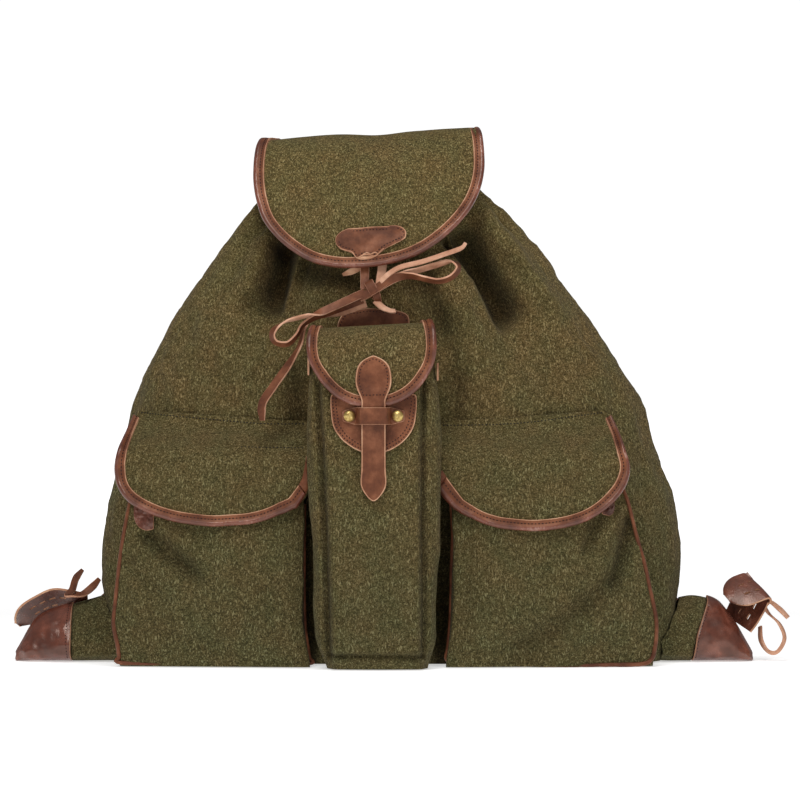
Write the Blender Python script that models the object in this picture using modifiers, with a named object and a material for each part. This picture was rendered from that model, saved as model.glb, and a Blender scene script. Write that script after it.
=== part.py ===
"""Loden rucksack with leather trim, standing on its base.

Metres, +Z up, the front of the rucksack faces -Y and +X is to the right of someone who looks at the front.
The origin lies on the ground under the middle of the sack.
"""

import math

import bmesh
import bpy
import numpy as np
from mathutils import Vector
from mathutils.bvhtree import BVHTree
from mathutils.geometry import delaunay_2d_cdt

LODEN = 0.003
LEATHER = 0.002
FLAP = 0.0026
SEAT = 0.0006
LACE_WIDTH = 0.0075
LACE_THICK = 0.0018

# The sack: a row for each height, with the reach to the left, right, front and back, the squareness of the
# section (2 is an ellipse), and the height of the gather's waves.
SACK_COLUMNS = ("z", "left", "right", "front", "back", "square", "gather")
SACK = (
    (0.000, -0.238, 0.226, 0.060, 0.064, 3.4, 0.0),
    (0.008, -0.248, 0.236, 0.068, 0.074, 3.2, 0.0),
    (0.030, -0.254, 0.241, 0.072, 0.082, 3.0, 0.0),
    (0.062, -0.2605, 0.2455, 0.074, 0.088, 2.8, 0.0),
    (0.088, -0.2635, 0.2470, 0.076, 0.091, 2.7, 0.0),
    (0.125, -0.2595, 0.2457, 0.078, 0.095, 2.6, 0.0),
    (0.162, -0.2507, 0.2357, 0.080, 0.097, 2.5, 0.0),
    (0.204, -0.2392, 0.2197, 0.081, 0.097, 2.4, 0.0),
    (0.235, -0.2345, 0.2122, 0.082, 0.095, 2.3, 0.0),
    (0.264, -0.2213, 0.1915, 0.083, 0.091, 2.2, 0.001),
    (0.300, -0.2008, 0.1674, 0.082, 0.086, 2.1, 0.003),
    (0.339, -0.1722, 0.1372, 0.078, 0.078, 2.1, 0.006),
    (0.379, -0.1414, 0.1023, 0.070, 0.070, 2.1, 0.009),
    (0.400, -0.1200, 0.0810, 0.060, 0.060, 2.1, 0.010),
    (0.421, -0.0960, 0.0520, 0.046, 0.046, 2.1, 0.010),
    (0.445, -0.0880, 0.0420, 0.042, 0.042, 2.1, 0.010),
)
SACK_LEVELS = (0.0, 0.008, 0.030, 0.068, 0.106, 0.150, 0.192, 0.226, 0.256, 0.284, 0.311, 0.337, 0.362,
               0.385, 0.405, 0.425, 0.445)
SACK_ROUND = 44
GATHERS = 11

# The folds pressed into the front below the gathered neck: each runs from a point at its top to a point at its
# foot, with the depth at its top and its half width.
FOLD_COLUMNS = ("top_x", "top_z", "foot_x", "foot_z", "depth", "width")
FOLDS = (
    (-0.082, 0.385, -0.118, 0.285, 0.026, 0.016),
    (0.040, 0.385, 0.108, 0.272, 0.028, 0.015),
    (-0.022, 0.400, -0.020, 0.335, 0.014, 0.022),
    (0.088, 0.262, 0.040, 0.235, 0.006, 0.014),
)
FOLD_FADE = 0.35

# The corners at the foot of the sack: a row for each section outwards, with the height, the half depth and the
# middle in Y. The leather cap's rows go on from the loden's last one.
WING_COLUMNS = ("x", "height", "half_depth", "middle")
LEFT_WING = ((-0.2100, 0.0620, 0.0440, 0.0), (-0.2580, 0.0590, 0.0420, 0.0), (-0.2720, 0.0545, 0.0410, 0.0),
             (-0.2870, 0.0500, 0.0400, 0.0))
LEFT_CAP = ((-0.2880, 0.0520, 0.0415, 0.0), (-0.3040, 0.0465, 0.0370, 0.0), (-0.3200, 0.0385, 0.0300, -0.002),
            (-0.3310, 0.0200, 0.0200, -0.004), (-0.3370, 0.0100, 0.0100, -0.005))
RIGHT_WING = ((0.1950, 0.0620, 0.0440, 0.0), (0.2440, 0.0560, 0.0420, 0.0), (0.2550, 0.0580, 0.0410, 0.0),
              (0.2655, 0.0560, 0.0400, 0.0))
RIGHT_CAP = ((0.2670, 0.0575, 0.0415, 0.0), (0.2800, 0.0520, 0.0370, 0.0), (0.2930, 0.0370, 0.0300, -0.002),
             (0.3030, 0.0200, 0.0200, -0.004), (0.3090, 0.0090, 0.0100, -0.005))
WING_ROUND = 12
WING_WALL = 0.0022
WING_CLEAR = 1.0022

# The side pockets: a row for each height, with the outer and inner edge of the front panel and how far each edge
# stands out in front of the origin's plane.
POCKET_COLUMNS = ("z", "outer", "inner", "outer_y", "inner_y")
LEFT_POCKET = (
    (0.000, -0.2400, -0.0760, -0.091, -0.108),
    (0.012, -0.2430, -0.0780, -0.092, -0.110),
    (0.036, -0.2445, -0.0810, -0.094, -0.112),
    (0.070, -0.2420, -0.0805, -0.094, -0.112),
    (0.110, -0.2380, -0.0800, -0.093, -0.110),
    (0.146, -0.2340, -0.0810, -0.090, -0.106),
    (0.178, -0.2300, -0.0820, -0.084, -0.102),
)
RIGHT_POCKET = (
    (0.000, 0.2165, 0.0385, -0.091, -0.108),
    (0.012, 0.2195, 0.0400, -0.092, -0.110),
    (0.036, 0.2210, 0.0430, -0.094, -0.112),
    (0.070, 0.2160, 0.0445, -0.094, -0.112),
    (0.110, 0.2060, 0.0445, -0.093, -0.110),
    (0.146, 0.1970, 0.0430, -0.090, -0.106),
    (0.178, 0.1880, 0.0420, -0.084, -0.102),
)
POCKET_CROWN = 0.012
POCKET_PANEL_STEPS = 7
PIPING_R = 0.0022

# The side pockets' flaps: the outline (x, z) down the outer side from the seam on the sack, and up the inner one.
LEFT_FLAP_OUTER = ((-0.2270, 0.2190), (-0.2335, 0.2040), (-0.2390, 0.1880), (-0.2422, 0.1720), (-0.2400, 0.1560),
                   (-0.2315, 0.1440), (-0.2110, 0.1325), (-0.1850, 0.1255), (-0.1590, 0.1228))
LEFT_FLAP_INNER = ((-0.0850, 0.2110), (-0.0850, 0.1900), (-0.0850, 0.1700), (-0.0855, 0.1530), (-0.0900, 0.1425),
                   (-0.1040, 0.1325), (-0.1260, 0.1252), (-0.1590, 0.1228))
RIGHT_FLAP_OUTER = ((0.1780, 0.2190), (0.1850, 0.2050), (0.1905, 0.1880), (0.1950, 0.1725), (0.1925, 0.1590),
                    (0.1840, 0.1460), (0.1640, 0.1300), (0.1390, 0.1215), (0.1130, 0.1190))
RIGHT_FLAP_INNER = ((0.0430, 0.2110), (0.0430, 0.1900), (0.0430, 0.1700), (0.0435, 0.1530), (0.0500, 0.1400),
                    (0.0630, 0.1290), (0.0850, 0.1215), (0.1130, 0.1190))
FLAP_STEP = 0.0145
ROOT_STEP = 0.006
BINDING_WIDTH = 0.0085
BINDING_WALL = 0.0009
BINDING_ROOM = 0.00055

# The centre pocket: a row for each height, with the gusset's bulge and the seam on each side of the front panel.
CENTRE_COLUMNS = ("z", "left", "seam_left", "seam_right", "right", "front")
CENTRE = (
    (0.000, -0.0610, -0.0550, 0.0180, 0.0230, -0.134),
    (0.012, -0.0670, -0.0570, 0.0200, 0.0270, -0.140),
    (0.026, -0.0720, -0.0590, 0.0210, 0.0310, -0.143),
    (0.055, -0.0740, -0.0604, 0.0195, 0.0300, -0.145),
    (0.100, -0.0740, -0.0616, 0.0203, 0.0350, -0.146),
    (0.150, -0.0770, -0.0638, 0.0214, 0.0355, -0.146),
    (0.200, -0.0790, -0.0665, 0.0222, 0.0355, -0.145),
    (0.240, -0.0775, -0.0680, 0.0222, 0.0320, -0.142),
    (0.270, -0.0750, -0.0690, 0.0210, 0.0270, -0.137),
    (0.279, -0.0740, -0.0690, 0.0200, 0.0260, -0.134),
)
CENTRE_CROWN = 0.004

# The centre pocket's flap: its profile from the seam on the sack, over the crest and down the front, and then how
# far its edge has come in at each height of the hanging part.
CENTRE_PROFILE = ((-0.0880, 0.2860), (-0.0990, 0.2905), (-0.1140, 0.2935), (-0.1290, 0.2935), (-0.1400, 0.2885),
                  (-0.1465, 0.2790), (-0.1490, 0.2680), (-0.1505, 0.2540), (-0.1515, 0.2400), (-0.1525, 0.2245))
CENTRE_FLAP_LEFT = ((-0.0750, 0.2935), (-0.0770, 0.2850), (-0.0770, 0.2740), (-0.0755, 0.2640), (-0.0710, 0.2540),
                    (-0.0635, 0.2430), (-0.0530, 0.2330), (-0.0400, 0.2265), (-0.0240, 0.2245))
CENTRE_FLAP_RIGHT = ((0.0262, 0.2935), (0.0285, 0.2850), (0.0292, 0.2740), (0.0285, 0.2650), (0.0245, 0.2550),
                     (0.0170, 0.2430), (0.0070, 0.2335), (-0.0070, 0.2265), (-0.0240, 0.2245))
CENTRE_ROOT = (-0.0700, 0.0220)

# The lid: its profile from the seam on the sack's back, over the crest and down the front, and its outline.
TOP_PROFILE = ((0.0625, 0.4130), (0.0630, 0.4300), (0.0560, 0.4460), (0.0390, 0.4570), (0.0150, 0.4620),
               (-0.0150, 0.4625), (-0.0400, 0.4580), (-0.0580, 0.4460), (-0.0710, 0.4260), (-0.0810, 0.4030),
               (-0.0890, 0.3810), (-0.0945, 0.3610), (-0.0975, 0.3435))
TOP_FLAP_LEFT = ((-0.1220, 0.4560), (-0.1242, 0.4400), (-0.1246, 0.4220), (-0.1220, 0.4040), (-0.1160, 0.3860),
                 (-0.1040, 0.3700), (-0.0870, 0.3560), (-0.0660, 0.3460), (-0.0390, 0.3427))
TOP_FLAP_RIGHT = ((0.0690, 0.4600), (0.0708, 0.4420), (0.0702, 0.4240), (0.0650, 0.4050), (0.0550, 0.3880),
                  (0.0390, 0.3710), (0.0180, 0.3560), (-0.0090, 0.3465), (-0.0390, 0.3427))
TOP_ROOT = (-0.1000, 0.0560)
TOP_FLAP_DROOP = 0.014
TOP_FLAP_TILT = 0.005
TOP_STEP = 0.0190

# Leather patches, as outlines (x, z).
FLAP_PATCH = ((-0.0535, 0.3700), (-0.0452, 0.3751), (-0.0250, 0.3772), (-0.0004, 0.3778), (0.0052, 0.3731),
              (0.0042, 0.3675), (-0.0135, 0.3582), (-0.0210, 0.3515), (-0.0300, 0.3530), (-0.0372, 0.3502),
              (-0.0414, 0.3554), (-0.0508, 0.3582), (-0.0545, 0.3640))
FRONT_PATCH = ((-0.0532, 0.2860), (-0.0532, 0.2955), (-0.0472, 0.3045), (-0.0283, 0.3079), (-0.0043, 0.3062),
               (0.0069, 0.3011), (0.0075, 0.2860))
CLOSURE_X = -0.0223
CLOSURE_PATCH = ((0.2330, 0.0355), (0.2165, 0.0355), (0.2050, 0.0330), (0.1950, 0.0260), (0.1880, 0.0160),
                 (0.1845, 0.0060))
CLOSURE_STRAP = ((0.2660, 0.0015), (0.2620, 0.0090), (0.2550, 0.0135), (0.2430, 0.0145), (0.2350, 0.0120),
                 (0.2290, 0.0098), (0.2240, 0.0098), (0.2180, 0.0098), (0.2120, 0.0098), (0.2040, 0.0098),
                 (0.1900, 0.0098), (0.1700, 0.0098), (0.1580, 0.0105), (0.1500, 0.0070), (0.1445, 0.0020))
STRAP_DEPTH = ((0.1445, -0.1535), (0.1700, -0.1545), (0.1900, -0.1556), (0.2040, -0.1580), (0.2180, -0.1602),
               (0.2260, -0.1612), (0.2350, -0.1610), (0.2430, -0.1592), (0.2550, -0.1584), (0.2660, -0.1578))
LEFT_TAB = ((-0.2270, 0.1410), (-0.2110, 0.1410), (-0.2110, 0.1190), (-0.2190, 0.1180), (-0.2270, 0.1260))
RIGHT_TAB = ((0.1730, 0.1480), (0.1830, 0.1480), (0.1830, 0.1340), (0.1790, 0.1300), (0.1730, 0.1320))
YOKE = ((-0.0700, 0.3900), (-0.0450, 0.3980), (0.0050, 0.3980), (0.0300, 0.3900), (0.0260, 0.3620),
        (0.0000, 0.3500), (-0.0400, 0.3500), (-0.0660, 0.3620))

# Laces and straps: a row for each point of the middle line, with the direction that the broad face turns to.
LACE_COLUMNS = ("x", "y", "z", "face_x", "face_y", "face_z")
BOW_LOOP_LEFT = (
    (-0.0335, -0.1045, 0.3190, 0.1, -1.0, 0.2), (-0.0450, -0.1070, 0.3140, 0.1, -1.0, 0.3),
    (-0.0580, -0.1100, 0.3080, 0.0, -1.0, 0.5), (-0.0700, -0.1125, 0.3030, 0.0, -0.8, 0.8),
    (-0.0850, -0.1130, 0.2995, -0.1, -0.4, 1.0), (-0.0990, -0.1120, 0.2950, -0.4, -0.3, 0.9),
    (-0.1085, -0.1110, 0.2870, -1.0, -0.3, 0.3), (-0.1065, -0.1100, 0.2785, -0.6, -0.3, -0.8),
    (-0.0960, -0.1090, 0.2770, 0.1, -0.3, -1.0), (-0.0880, -0.1080, 0.2845, 0.7, -0.3, -0.8),
    (-0.0830, -0.1065, 0.2930, 0.7, -0.4, -0.7), (-0.0730, -0.1045, 0.2995, 0.4, -0.6, -0.8),
    (-0.0620, -0.1020, 0.3035, 0.3, -0.8, -0.6), (-0.0490, -0.1000, 0.3085, 0.2, -1.0, -0.3),
    (-0.0345, -0.0990, 0.3140, 0.1, -1.0, -0.2),
)
BOW_LOOP_RIGHT = (
    (-0.0153, -0.1050, 0.3277, 0.3, -1.0, 0.3), (-0.0035, -0.1083, 0.3335, 0.2, -0.9, 0.6),
    (0.0090, -0.1100, 0.3350, -0.1, -0.5, -0.9), (0.0210, -0.1105, 0.3325, -0.1, -0.3, -1.0),
    (0.0330, -0.1105, 0.3305, 0.0, -0.3, -1.0), (0.0440, -0.1095, 0.3340, 0.6, -0.3, -0.7),
    (0.0500, -0.1080, 0.3420, 1.0, -0.3, 0.1), (0.0440, -0.1060, 0.3475, 0.1, -0.3, 1.0),
    (0.0300, -0.1045, 0.3440, -0.2, -0.4, 0.9), (0.0160, -0.1030, 0.3400, -0.2, -0.5, 0.9),
    (0.0030, -0.1010, 0.3370, -0.2, -0.6, 0.8), (-0.0110, -0.0995, 0.3310, -0.2, -0.8, 0.6),
)
BOW_TAIL_LEFT = (
    (-0.0318, -0.0960, 0.3098, 0.0, -1.0, 0.3), (-0.0480, -0.0953, 0.3056, 0.0, -1.0, 0.3),
    (-0.0640, -0.0958, 0.3021, 0.0, -0.7, 0.7), (-0.0760, -0.0955, 0.2975, -0.4, -0.3, 0.9),
    (-0.0825, -0.0985, 0.2880, -0.9, -0.4, 0.3), (-0.0855, -0.1030, 0.2760, -0.9, -0.5, 0.1),
    (-0.0945, -0.1100, 0.2600, -0.6, -0.9, 0.1), (-0.1081, -0.1150, 0.2404, -0.6, -0.9, 0.0),
    (-0.1172, -0.1165, 0.2259, -0.5, -0.9, 0.0), (-0.1172, -0.1175, 0.2115, -0.4, -0.9, 0.0),
)
BOW_TAIL_RIGHT = (
    (-0.0127, -0.1070, 0.3346, -0.3, -0.8, 0.6), (0.0010, -0.1120, 0.3425, -0.3, -0.5, 0.9),
    (0.0190, -0.1130, 0.3470, -0.2, -0.4, 1.0), (0.0370, -0.1125, 0.3530, -0.3, -0.4, 1.0),
    (0.0520, -0.1115, 0.3585, -0.3, -0.4, 0.9), (0.0560, -0.1110, 0.3630, -0.8, -0.3, 0.5),
)
BOW_SHORT_END = (
    (-0.0214, -0.1012, 0.3140, 0.2, -1.0, 0.3), (-0.0155, -0.1020, 0.3085, 0.3, -1.0, 0.4),
    (-0.0090, -0.1015, 0.3055, 0.1, -0.9, 0.6), (-0.0040, -0.1005, 0.3050, 0.1, -0.9, 0.6),
)
RISER_LEFT = ((-0.0303, -0.0977, 0.3285), (-0.0302, -0.0910, 0.3440), (-0.0302, -0.0840, 0.3620),
              (-0.0305, -0.0770, 0.3840))
RISER_RIGHT = ((-0.0170, -0.0985, 0.3310), (-0.0150, -0.0910, 0.3450), (-0.0145, -0.0840, 0.3620),
               (-0.0140, -0.0770, 0.3840))
NECK_Z = 0.4300
KNOT = (-0.0240, -0.1010, 0.3220)
KNOT_SIZE = (0.0080, 0.0052, 0.0085)
CORNER_TAB_WIDTH = 0.038
TAB_COLUMNS = ("x", "y", "z", "side_x", "side_y", "side_z")
LEFT_CORNER_TAB = (
    (-0.2760, 0.0159, 0.0480, 0.0, 0.80, -0.60), (-0.2900, 0.0168, 0.0506, 0.0, 0.80, -0.60),
    (-0.3050, 0.0180, 0.0515, 0.0, 0.80, -0.60), (-0.3190, 0.0180, 0.0460, 0.0, 0.80, -0.60),
    (-0.3320, 0.0180, 0.0380, 0.0, 0.80, -0.60), (-0.3390, 0.0180, 0.0310, 0.0, 0.80, -0.60),
)
RIGHT_CORNER_TAB = (
    (0.2977, 0.0001, 0.0321, -0.40, 0.72, 0.57), (0.3055, -0.0010, 0.0460, -0.50, 0.68, 0.53),
    (0.3120, -0.0010, 0.0590, -0.53, 0.66, 0.53), (0.3155, -0.0035, 0.0640, -0.53, 0.66, 0.53),
    (0.3130, -0.0075, 0.0665, -0.53, 0.66, 0.53), (0.3040, -0.0110, 0.0640, -0.53, 0.66, 0.53),
    (0.2940, -0.0140, 0.0600, -0.53, 0.66, 0.53), (0.2860, -0.0160, 0.0560, -0.53, 0.66, 0.53),
)
CORNER_LACE_LEFT = (
    (-0.2790, -0.0020, 0.0800, -0.3, -1.0, 0.0), (-0.2850, -0.0030, 0.0720, -0.4, -1.0, 0.0),
    (-0.2880, -0.0045, 0.0625, -0.3, -1.0, 0.3), (-0.2920, -0.0060, 0.0570, 0.3, -0.6, 0.8),
    (-0.2860, -0.0120, 0.0575, 0.3, -0.3, 0.9), (-0.2780, -0.0120, 0.0590, 0.3, -0.6, 0.8),
    (-0.2700, -0.0100, 0.0650, 0.2, -1.0, 0.3), (-0.2640, -0.0070, 0.0720, 0.6, -0.8, 0.3),
)
CORNER_LACE_RIGHT = (
    (0.3405, -0.0120, 0.0380, 0.5, -0.5, 0.7), (0.3325, -0.0105, 0.0462, 0.5, -0.5, 0.7),
    (0.3241, -0.0087, 0.0523, 0.6, -0.3, 0.7), (0.3208, -0.0055, 0.0480, 0.9, -0.2, 0.1),
    (0.3245, -0.0040, 0.0410, 0.9, -0.3, 0.3), (0.3330, -0.0090, 0.0325, 0.9, -0.4, 0.3),
    (0.3372, -0.0130, 0.0200, 1.0, -0.4, 0.0), (0.3310, -0.0140, 0.0085, 0.4, -0.4, -0.9),
    (0.3230, -0.0120, 0.0085, -0.6, -0.4, -0.8), (0.3170, -0.0080, 0.0180, -1.0, -0.4, 0.0),
    (0.3165, -0.0040, 0.0300, -1.0, -0.4, 0.0),
)
SHOULDER_STRAP = (
    (-0.0400, 0.0835, 0.3850), (-0.0480, 0.0920, 0.3640), (-0.0640, 0.1130, 0.3380), (-0.0900, 0.1340, 0.2950),
    (-0.1250, 0.1440, 0.2350), (-0.1650, 0.1430, 0.1700), (-0.2080, 0.1260, 0.1050), (-0.2540, 0.0880, 0.0520),
    (-0.2920, 0.0420, 0.0240),
)
SHOULDER_WIDTH = (0.034, 0.036, 0.038, 0.040, 0.038, 0.034, 0.028, 0.021, 0.016)
SHOULDER_THICK = 0.0035
STRAP_MIDDLE = -0.0200
RIGHT_STRAP_REACH = 1.075


def column(rows, names, name):
    """One named column of a table."""
    at = names.index(name)
    return [row[at] for row in rows]


def curve_through(places, values, at):
    """The value at a place on a smooth curve through a table's values, with no overshoot."""
    places = np.asarray(places, float)
    values = np.asarray(values, float)
    if places[0] > places[-1]:
        places, values = places[::-1], values[::-1]
    at = min(max(at, places[0]), places[-1])
    i = int(min(max(np.searchsorted(places, at) - 1, 0), len(places) - 2))
    steps = np.diff(places)
    slopes = np.diff(values) / steps
    tangent = np.empty(len(places))
    tangent[0], tangent[-1] = slopes[0], slopes[-1]
    for k in range(1, len(places) - 1):
        same_way = slopes[k - 1] * slopes[k] > 0
        tangent[k] = 2 * slopes[k - 1] * slopes[k] / (slopes[k - 1] + slopes[k]) if same_way else 0
    t = (at - places[i]) / steps[i]
    rise = steps[i]
    return float(
        values[i] * (1 + 2 * t) * (1 - t) ** 2
        + tangent[i] * rise * t * (1 - t) ** 2
        + values[i + 1] * t * t * (3 - 2 * t)
        + tangent[i + 1] * rise * t * t * (t - 1)
    )


def columns(rows, names, wanted):
    """Several named columns of a table, side by side: a tuple for each row."""
    return list(zip(*(column(rows, names, name) for name in wanted)))


def row_at(rows, names, z):
    """A whole row of a table at a height between its rows, as a dictionary."""
    heights = column(rows, names, "z")
    return {name: curve_through(heights, column(rows, names, name), z) for name in names}


def smooth_step(low, high, value):
    """0 below low, 1 above high and an even ease between them."""
    t = min(max((value - low) / (high - low), 0.0), 1.0)
    return t * t * (3 - 2 * t)


def signed_power(value, power):
    return math.copysign(abs(value) ** power, value)


def finish(name, mesh, material, smooth_angle=50):
    """An object of this mesh in the rucksack's collection."""
    obj = bpy.data.objects.new(name, mesh)
    RUCKSACK.objects.link(obj)
    mesh.materials.append(material)
    mesh.shade_smooth()
    mesh.set_sharp_from_angle(angle=math.radians(smooth_angle))
    return obj


def mesh_of(name, points, faces):
    mesh = bpy.data.meshes.new(name)
    mesh.from_pydata([tuple(p) for p in points], [], faces)
    mesh.validate()
    return mesh


def grid_faces(rows, columns, closed=False):
    """The quads of a grid of points, row by row. A closed grid's rows are rings."""
    last = columns if closed else columns - 1
    return [
        (r * columns + c, r * columns + (c + 1) % columns,
         (r + 1) * columns + (c + 1) % columns, (r + 1) * columns + c)
        for r in range(rows - 1)
        for c in range(last)
    ]


def turned_outwards(mesh, inside=None):
    """The mesh with its faces all pointing out: away from the inside point, where one is given."""
    shell = bmesh.new()
    shell.from_mesh(mesh)
    bmesh.ops.recalc_face_normals(shell, faces=shell.faces)
    if inside is not None:
        away = sum(f.normal.dot(f.calc_center_median() - inside) * f.calc_area() for f in shell.faces)
        if away < 0:
            bmesh.ops.reverse_faces(shell, faces=shell.faces)
    shell.to_mesh(mesh)
    shell.free()
    return mesh


def wall(obj, thickness):
    """Gives an open shell its thickness, inwards from its outer faces."""
    solid = obj.modifiers.new("wall", "SOLIDIFY")
    solid.thickness = thickness
    solid.offset = -1.0
    return obj


def swept(name, stations, profile, material):
    """A closed bar: the profile's (across, out) points set out at each station, with both ends capped.
    A station is its place, the direction across and the direction out."""
    count = len(profile)
    points = [place + across * a + out * b for place, across, out in stations for a, b in profile]
    faces = grid_faces(len(stations), count, closed=True)
    faces.append(tuple(range(count)))
    faces.append(tuple((len(stations) - 1) * count + k for k in range(count)))
    return finish(name, turned_outwards(mesh_of(name, points, faces)), material)


def bar(width, thickness):
    """The profile of a flat strap."""
    w, t = width / 2, thickness / 2
    return ((-w, -t), (w, -t), (w, t), (-w, t))


def tube(name, points, radius, material, sides_level=1):
    """A round cord or piping along a polyline."""
    data = bpy.data.curves.new(name, "CURVE")
    data.dimensions = "3D"
    data.bevel_depth = radius
    data.bevel_resolution = sides_level
    data.use_fill_caps = True
    spline = data.splines.new("POLY")
    spline.points.add(len(points) - 1)
    for point, place in zip(spline.points, points):
        point.co = (*place, 1.0)
    data.materials.append(material)
    obj = bpy.data.objects.new(name, data)
    RUCKSACK.objects.link(obj)
    return obj


def through(points, count):
    """Points spaced evenly along a smooth curve through the given ones."""
    points = [Vector(p) for p in points]
    padded = [points[0] * 2 - points[1], *points, points[-1] * 2 - points[-2]]
    dense = []
    for a, b, c, d in zip(padded, padded[1:], padded[2:], padded[3:]):
        for k in range(16):
            t = k / 16
            dense.append(0.5 * (2 * b + (c - a) * t + (2 * a - 5 * b + 4 * c - d) * t ** 2
                                + (3 * b - 3 * c + d - a) * t ** 3))
    dense.append(points[-1])
    along = np.concatenate([[0], np.cumsum([(q - p).length for p, q in zip(dense, dense[1:])])])
    at = np.linspace(0, along[-1], count)
    axes = [np.interp(at, along, [p[k] for p in dense]) for k in range(3)]
    return [Vector(p) for p in zip(*axes)]


def directions(rows, count):
    """Directions spaced evenly between the given ones."""
    marks, at = np.linspace(0, 1, len(rows)), np.linspace(0, 1, count)
    axes = [np.interp(at, marks, axis) for axis in zip(*rows)]
    return [Vector(d).normalized() for d in zip(*axes)]


def strap_stations(points, facing):
    """Stations for a flat strap: its broad face turns towards facing, which may change along it."""
    stations = []
    for k, place in enumerate(points):
        along = (points[min(k + 1, len(points) - 1)] - points[max(k - 1, 0)]).normalized()
        out = Vector(facing[k]) if isinstance(facing, list) else Vector(facing)
        out = (out - along * out.dot(along)).normalized()
        stations.append((place, along.cross(out), out))
    return stations


def spaced_along(points, step):
    """Points of the pattern, near this step apart, along a smooth curve through the given ones."""
    curve = through([(u, v, 0.0) for u, v in points], 400)
    length = sum((b - a).length for a, b in zip(curve, curve[1:]))
    count = max(int(round((length - ROOT_STEP) / step)), 2)
    at = [0.0] + list(np.linspace(ROOT_STEP, length, count + 1))
    along = np.linspace(0, length, len(curve))
    return [(float(np.interp(d, along, [p.x for p in curve])), float(np.interp(d, along, [p.y for p in curve])))
            for d in at]


class Panel:
    """A flap cut from a flat pattern and laid on a surface. The pattern's edge runs down the left side, round the
    foot and up the right side, and a second line lies one binding's width in from it, so that the binding and the
    cloth below it share their facets."""

    def __init__(self, left, right, place, step, facing):
        self.place = place
        self.facing = Vector(facing)
        side, other = spaced_along(left, step), spaced_along(right, step)
        self.edge = side + other[-2::-1]
        self.step = step
        self.inner = self.inset(BINDING_WIDTH)

    def inset(self, distance):
        """The edge moved in, with the two root ends moved straight along the root."""
        middle = sum(u for u, _ in self.edge) / len(self.edge)
        moved = []
        for k, (u, v) in enumerate(self.edge):
            if k in (0, len(self.edge) - 1):
                moved.append((u + math.copysign(distance, middle - u), v))
                continue
            (u0, v0), (u1, v1) = self.edge[k - 1], self.edge[k + 1]
            along = Vector((u1 - u0, v1 - v0)).normalized()
            moved.append((u - along.y * distance * self.turn(), v + along.x * distance * self.turn()))
        return moved

    def turn(self):
        area = sum(a[0] * b[1] - a[1] * b[0] for a, b in zip(self.edge, self.edge[1:] + self.edge[:1]))
        return 1 if area > 0 else -1

    def normal(self, u, v):
        d = 0.005
        across = self.place(u + d, v) - self.place(u - d, v)
        down = self.place(u, v + d) - self.place(u, v - d)
        out = across.cross(down).normalized()
        return out if out.dot(self.facing_at(u, v)) > 0 else -out

    def facing_at(self, u, v):
        """The way to the outer side: from the middle of the pocket or sack that the panel covers."""
        return self.place(u, v) - self.facing

    def sheet(self, name, thickness, material):
        """The cloth itself."""
        count = len(self.edge)
        root_left, root_right = self.inner[0], self.inner[-1]
        steps = max(int(round(abs(root_right[0] - root_left[0]) / self.step)), 2)
        root = [(root_left[0] + (root_right[0] - root_left[0]) * k / steps,
                 root_left[1] + (root_right[1] - root_left[1]) * k / steps) for k in range(1, steps)]
        points = [Vector(p) for p in self.edge + self.inner + root]
        lines = [(k, k + 1) for k in range(count - 1)] + [(count + k, count + k + 1) for k in range(count - 1)]
        chain = [0, count, *range(2 * count, 2 * count + len(root)), 2 * count - 1, count - 1]
        lines += list(zip(chain, chain[1:]))
        lines += [(k, count + k) for k in range(1, count - 1)] + [(k, count + k + 1) for k in range(count - 1)]
        low_u, high_u = min(p.x for p in points), max(p.x for p in points)
        low_v, high_v = min(p.y for p in points), max(p.y for p in points)
        ring = [Vector(p) for p in self.inner]
        for v in np.arange(low_v, high_v, self.step):
            for u in np.arange(low_u, high_u, self.step):
                spot = Vector((u + 0.5 * self.step, v + 0.5 * self.step))
                near = min(distance_to(spot, a, b) for a, b in zip(ring, ring[1:] + ring[:1]))
                if near > 0.45 * self.step and inside_of(spot, ring):
                    points.append(spot)
        flat, _, faces, *_ = delaunay_2d_cdt(points, lines, [], 1, 1e-6)
        mesh = mesh_of(name, [self.place(p.x, p.y) for p in flat], [tuple(f) for f in faces])
        obj = finish(name, turned_outwards(mesh), material)
        solid = obj.modifiers.new("thickness", "SOLIDIFY")
        solid.thickness = thickness
        solid.offset = 0.0
        return obj

    def binding(self, name, cloth, material, first=1):
        """The strip folded over the edge, with a little room all round the cloth."""
        inside = cloth / 2 + BINDING_ROOM
        outside = inside + BINDING_WALL
        rings = []
        count = len(self.edge)
        for k in range(first, count - first):
            near, far = self.place(*self.edge[k]), self.place(*self.inner[k])
            near_out, far_out = self.normal(*self.edge[k]), self.normal(*self.inner[k])
            away = (near - far).normalized()
            slot, lip = near + away * BINDING_ROOM, near + away * (BINDING_ROOM + BINDING_WALL)
            rings.append([lip - near_out * outside, far - far_out * outside, far - far_out * inside,
                          slot - near_out * inside, slot + near_out * inside, far + far_out * inside,
                          far + far_out * outside, lip + near_out * outside])
        faces = []
        for r in range(len(rings) - 1):
            for a in range(8):
                b = (a + 1) % 8
                corners = [r * 8 + a, r * 8 + b, (r + 1) * 8 + b, (r + 1) * 8 + a]
                # The cloth's strip is cut from each edge point to the next inner point, and so is this one.
                if a in (1, 2, 5, 6) and b in (0, 3, 4, 7):
                    corners = corners[1:] + corners[:1]
                faces += [(corners[0], corners[1], corners[2]), (corners[0], corners[2], corners[3])]
        faces += [tuple(range(8)), tuple((len(rings) - 1) * 8 + a for a in range(8))]
        points = [p for ring in rings for p in ring]
        return finish(name, turned_outwards(mesh_of(name, points, faces)), material)


def distance_to(spot, a, b):
    """How far a spot of the pattern lies from the line between two others."""
    run = b - a
    share = min(max((spot - a).dot(run) / max(run.length_squared, 1e-12), 0), 1)
    return (spot - a - run * share).length


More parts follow.
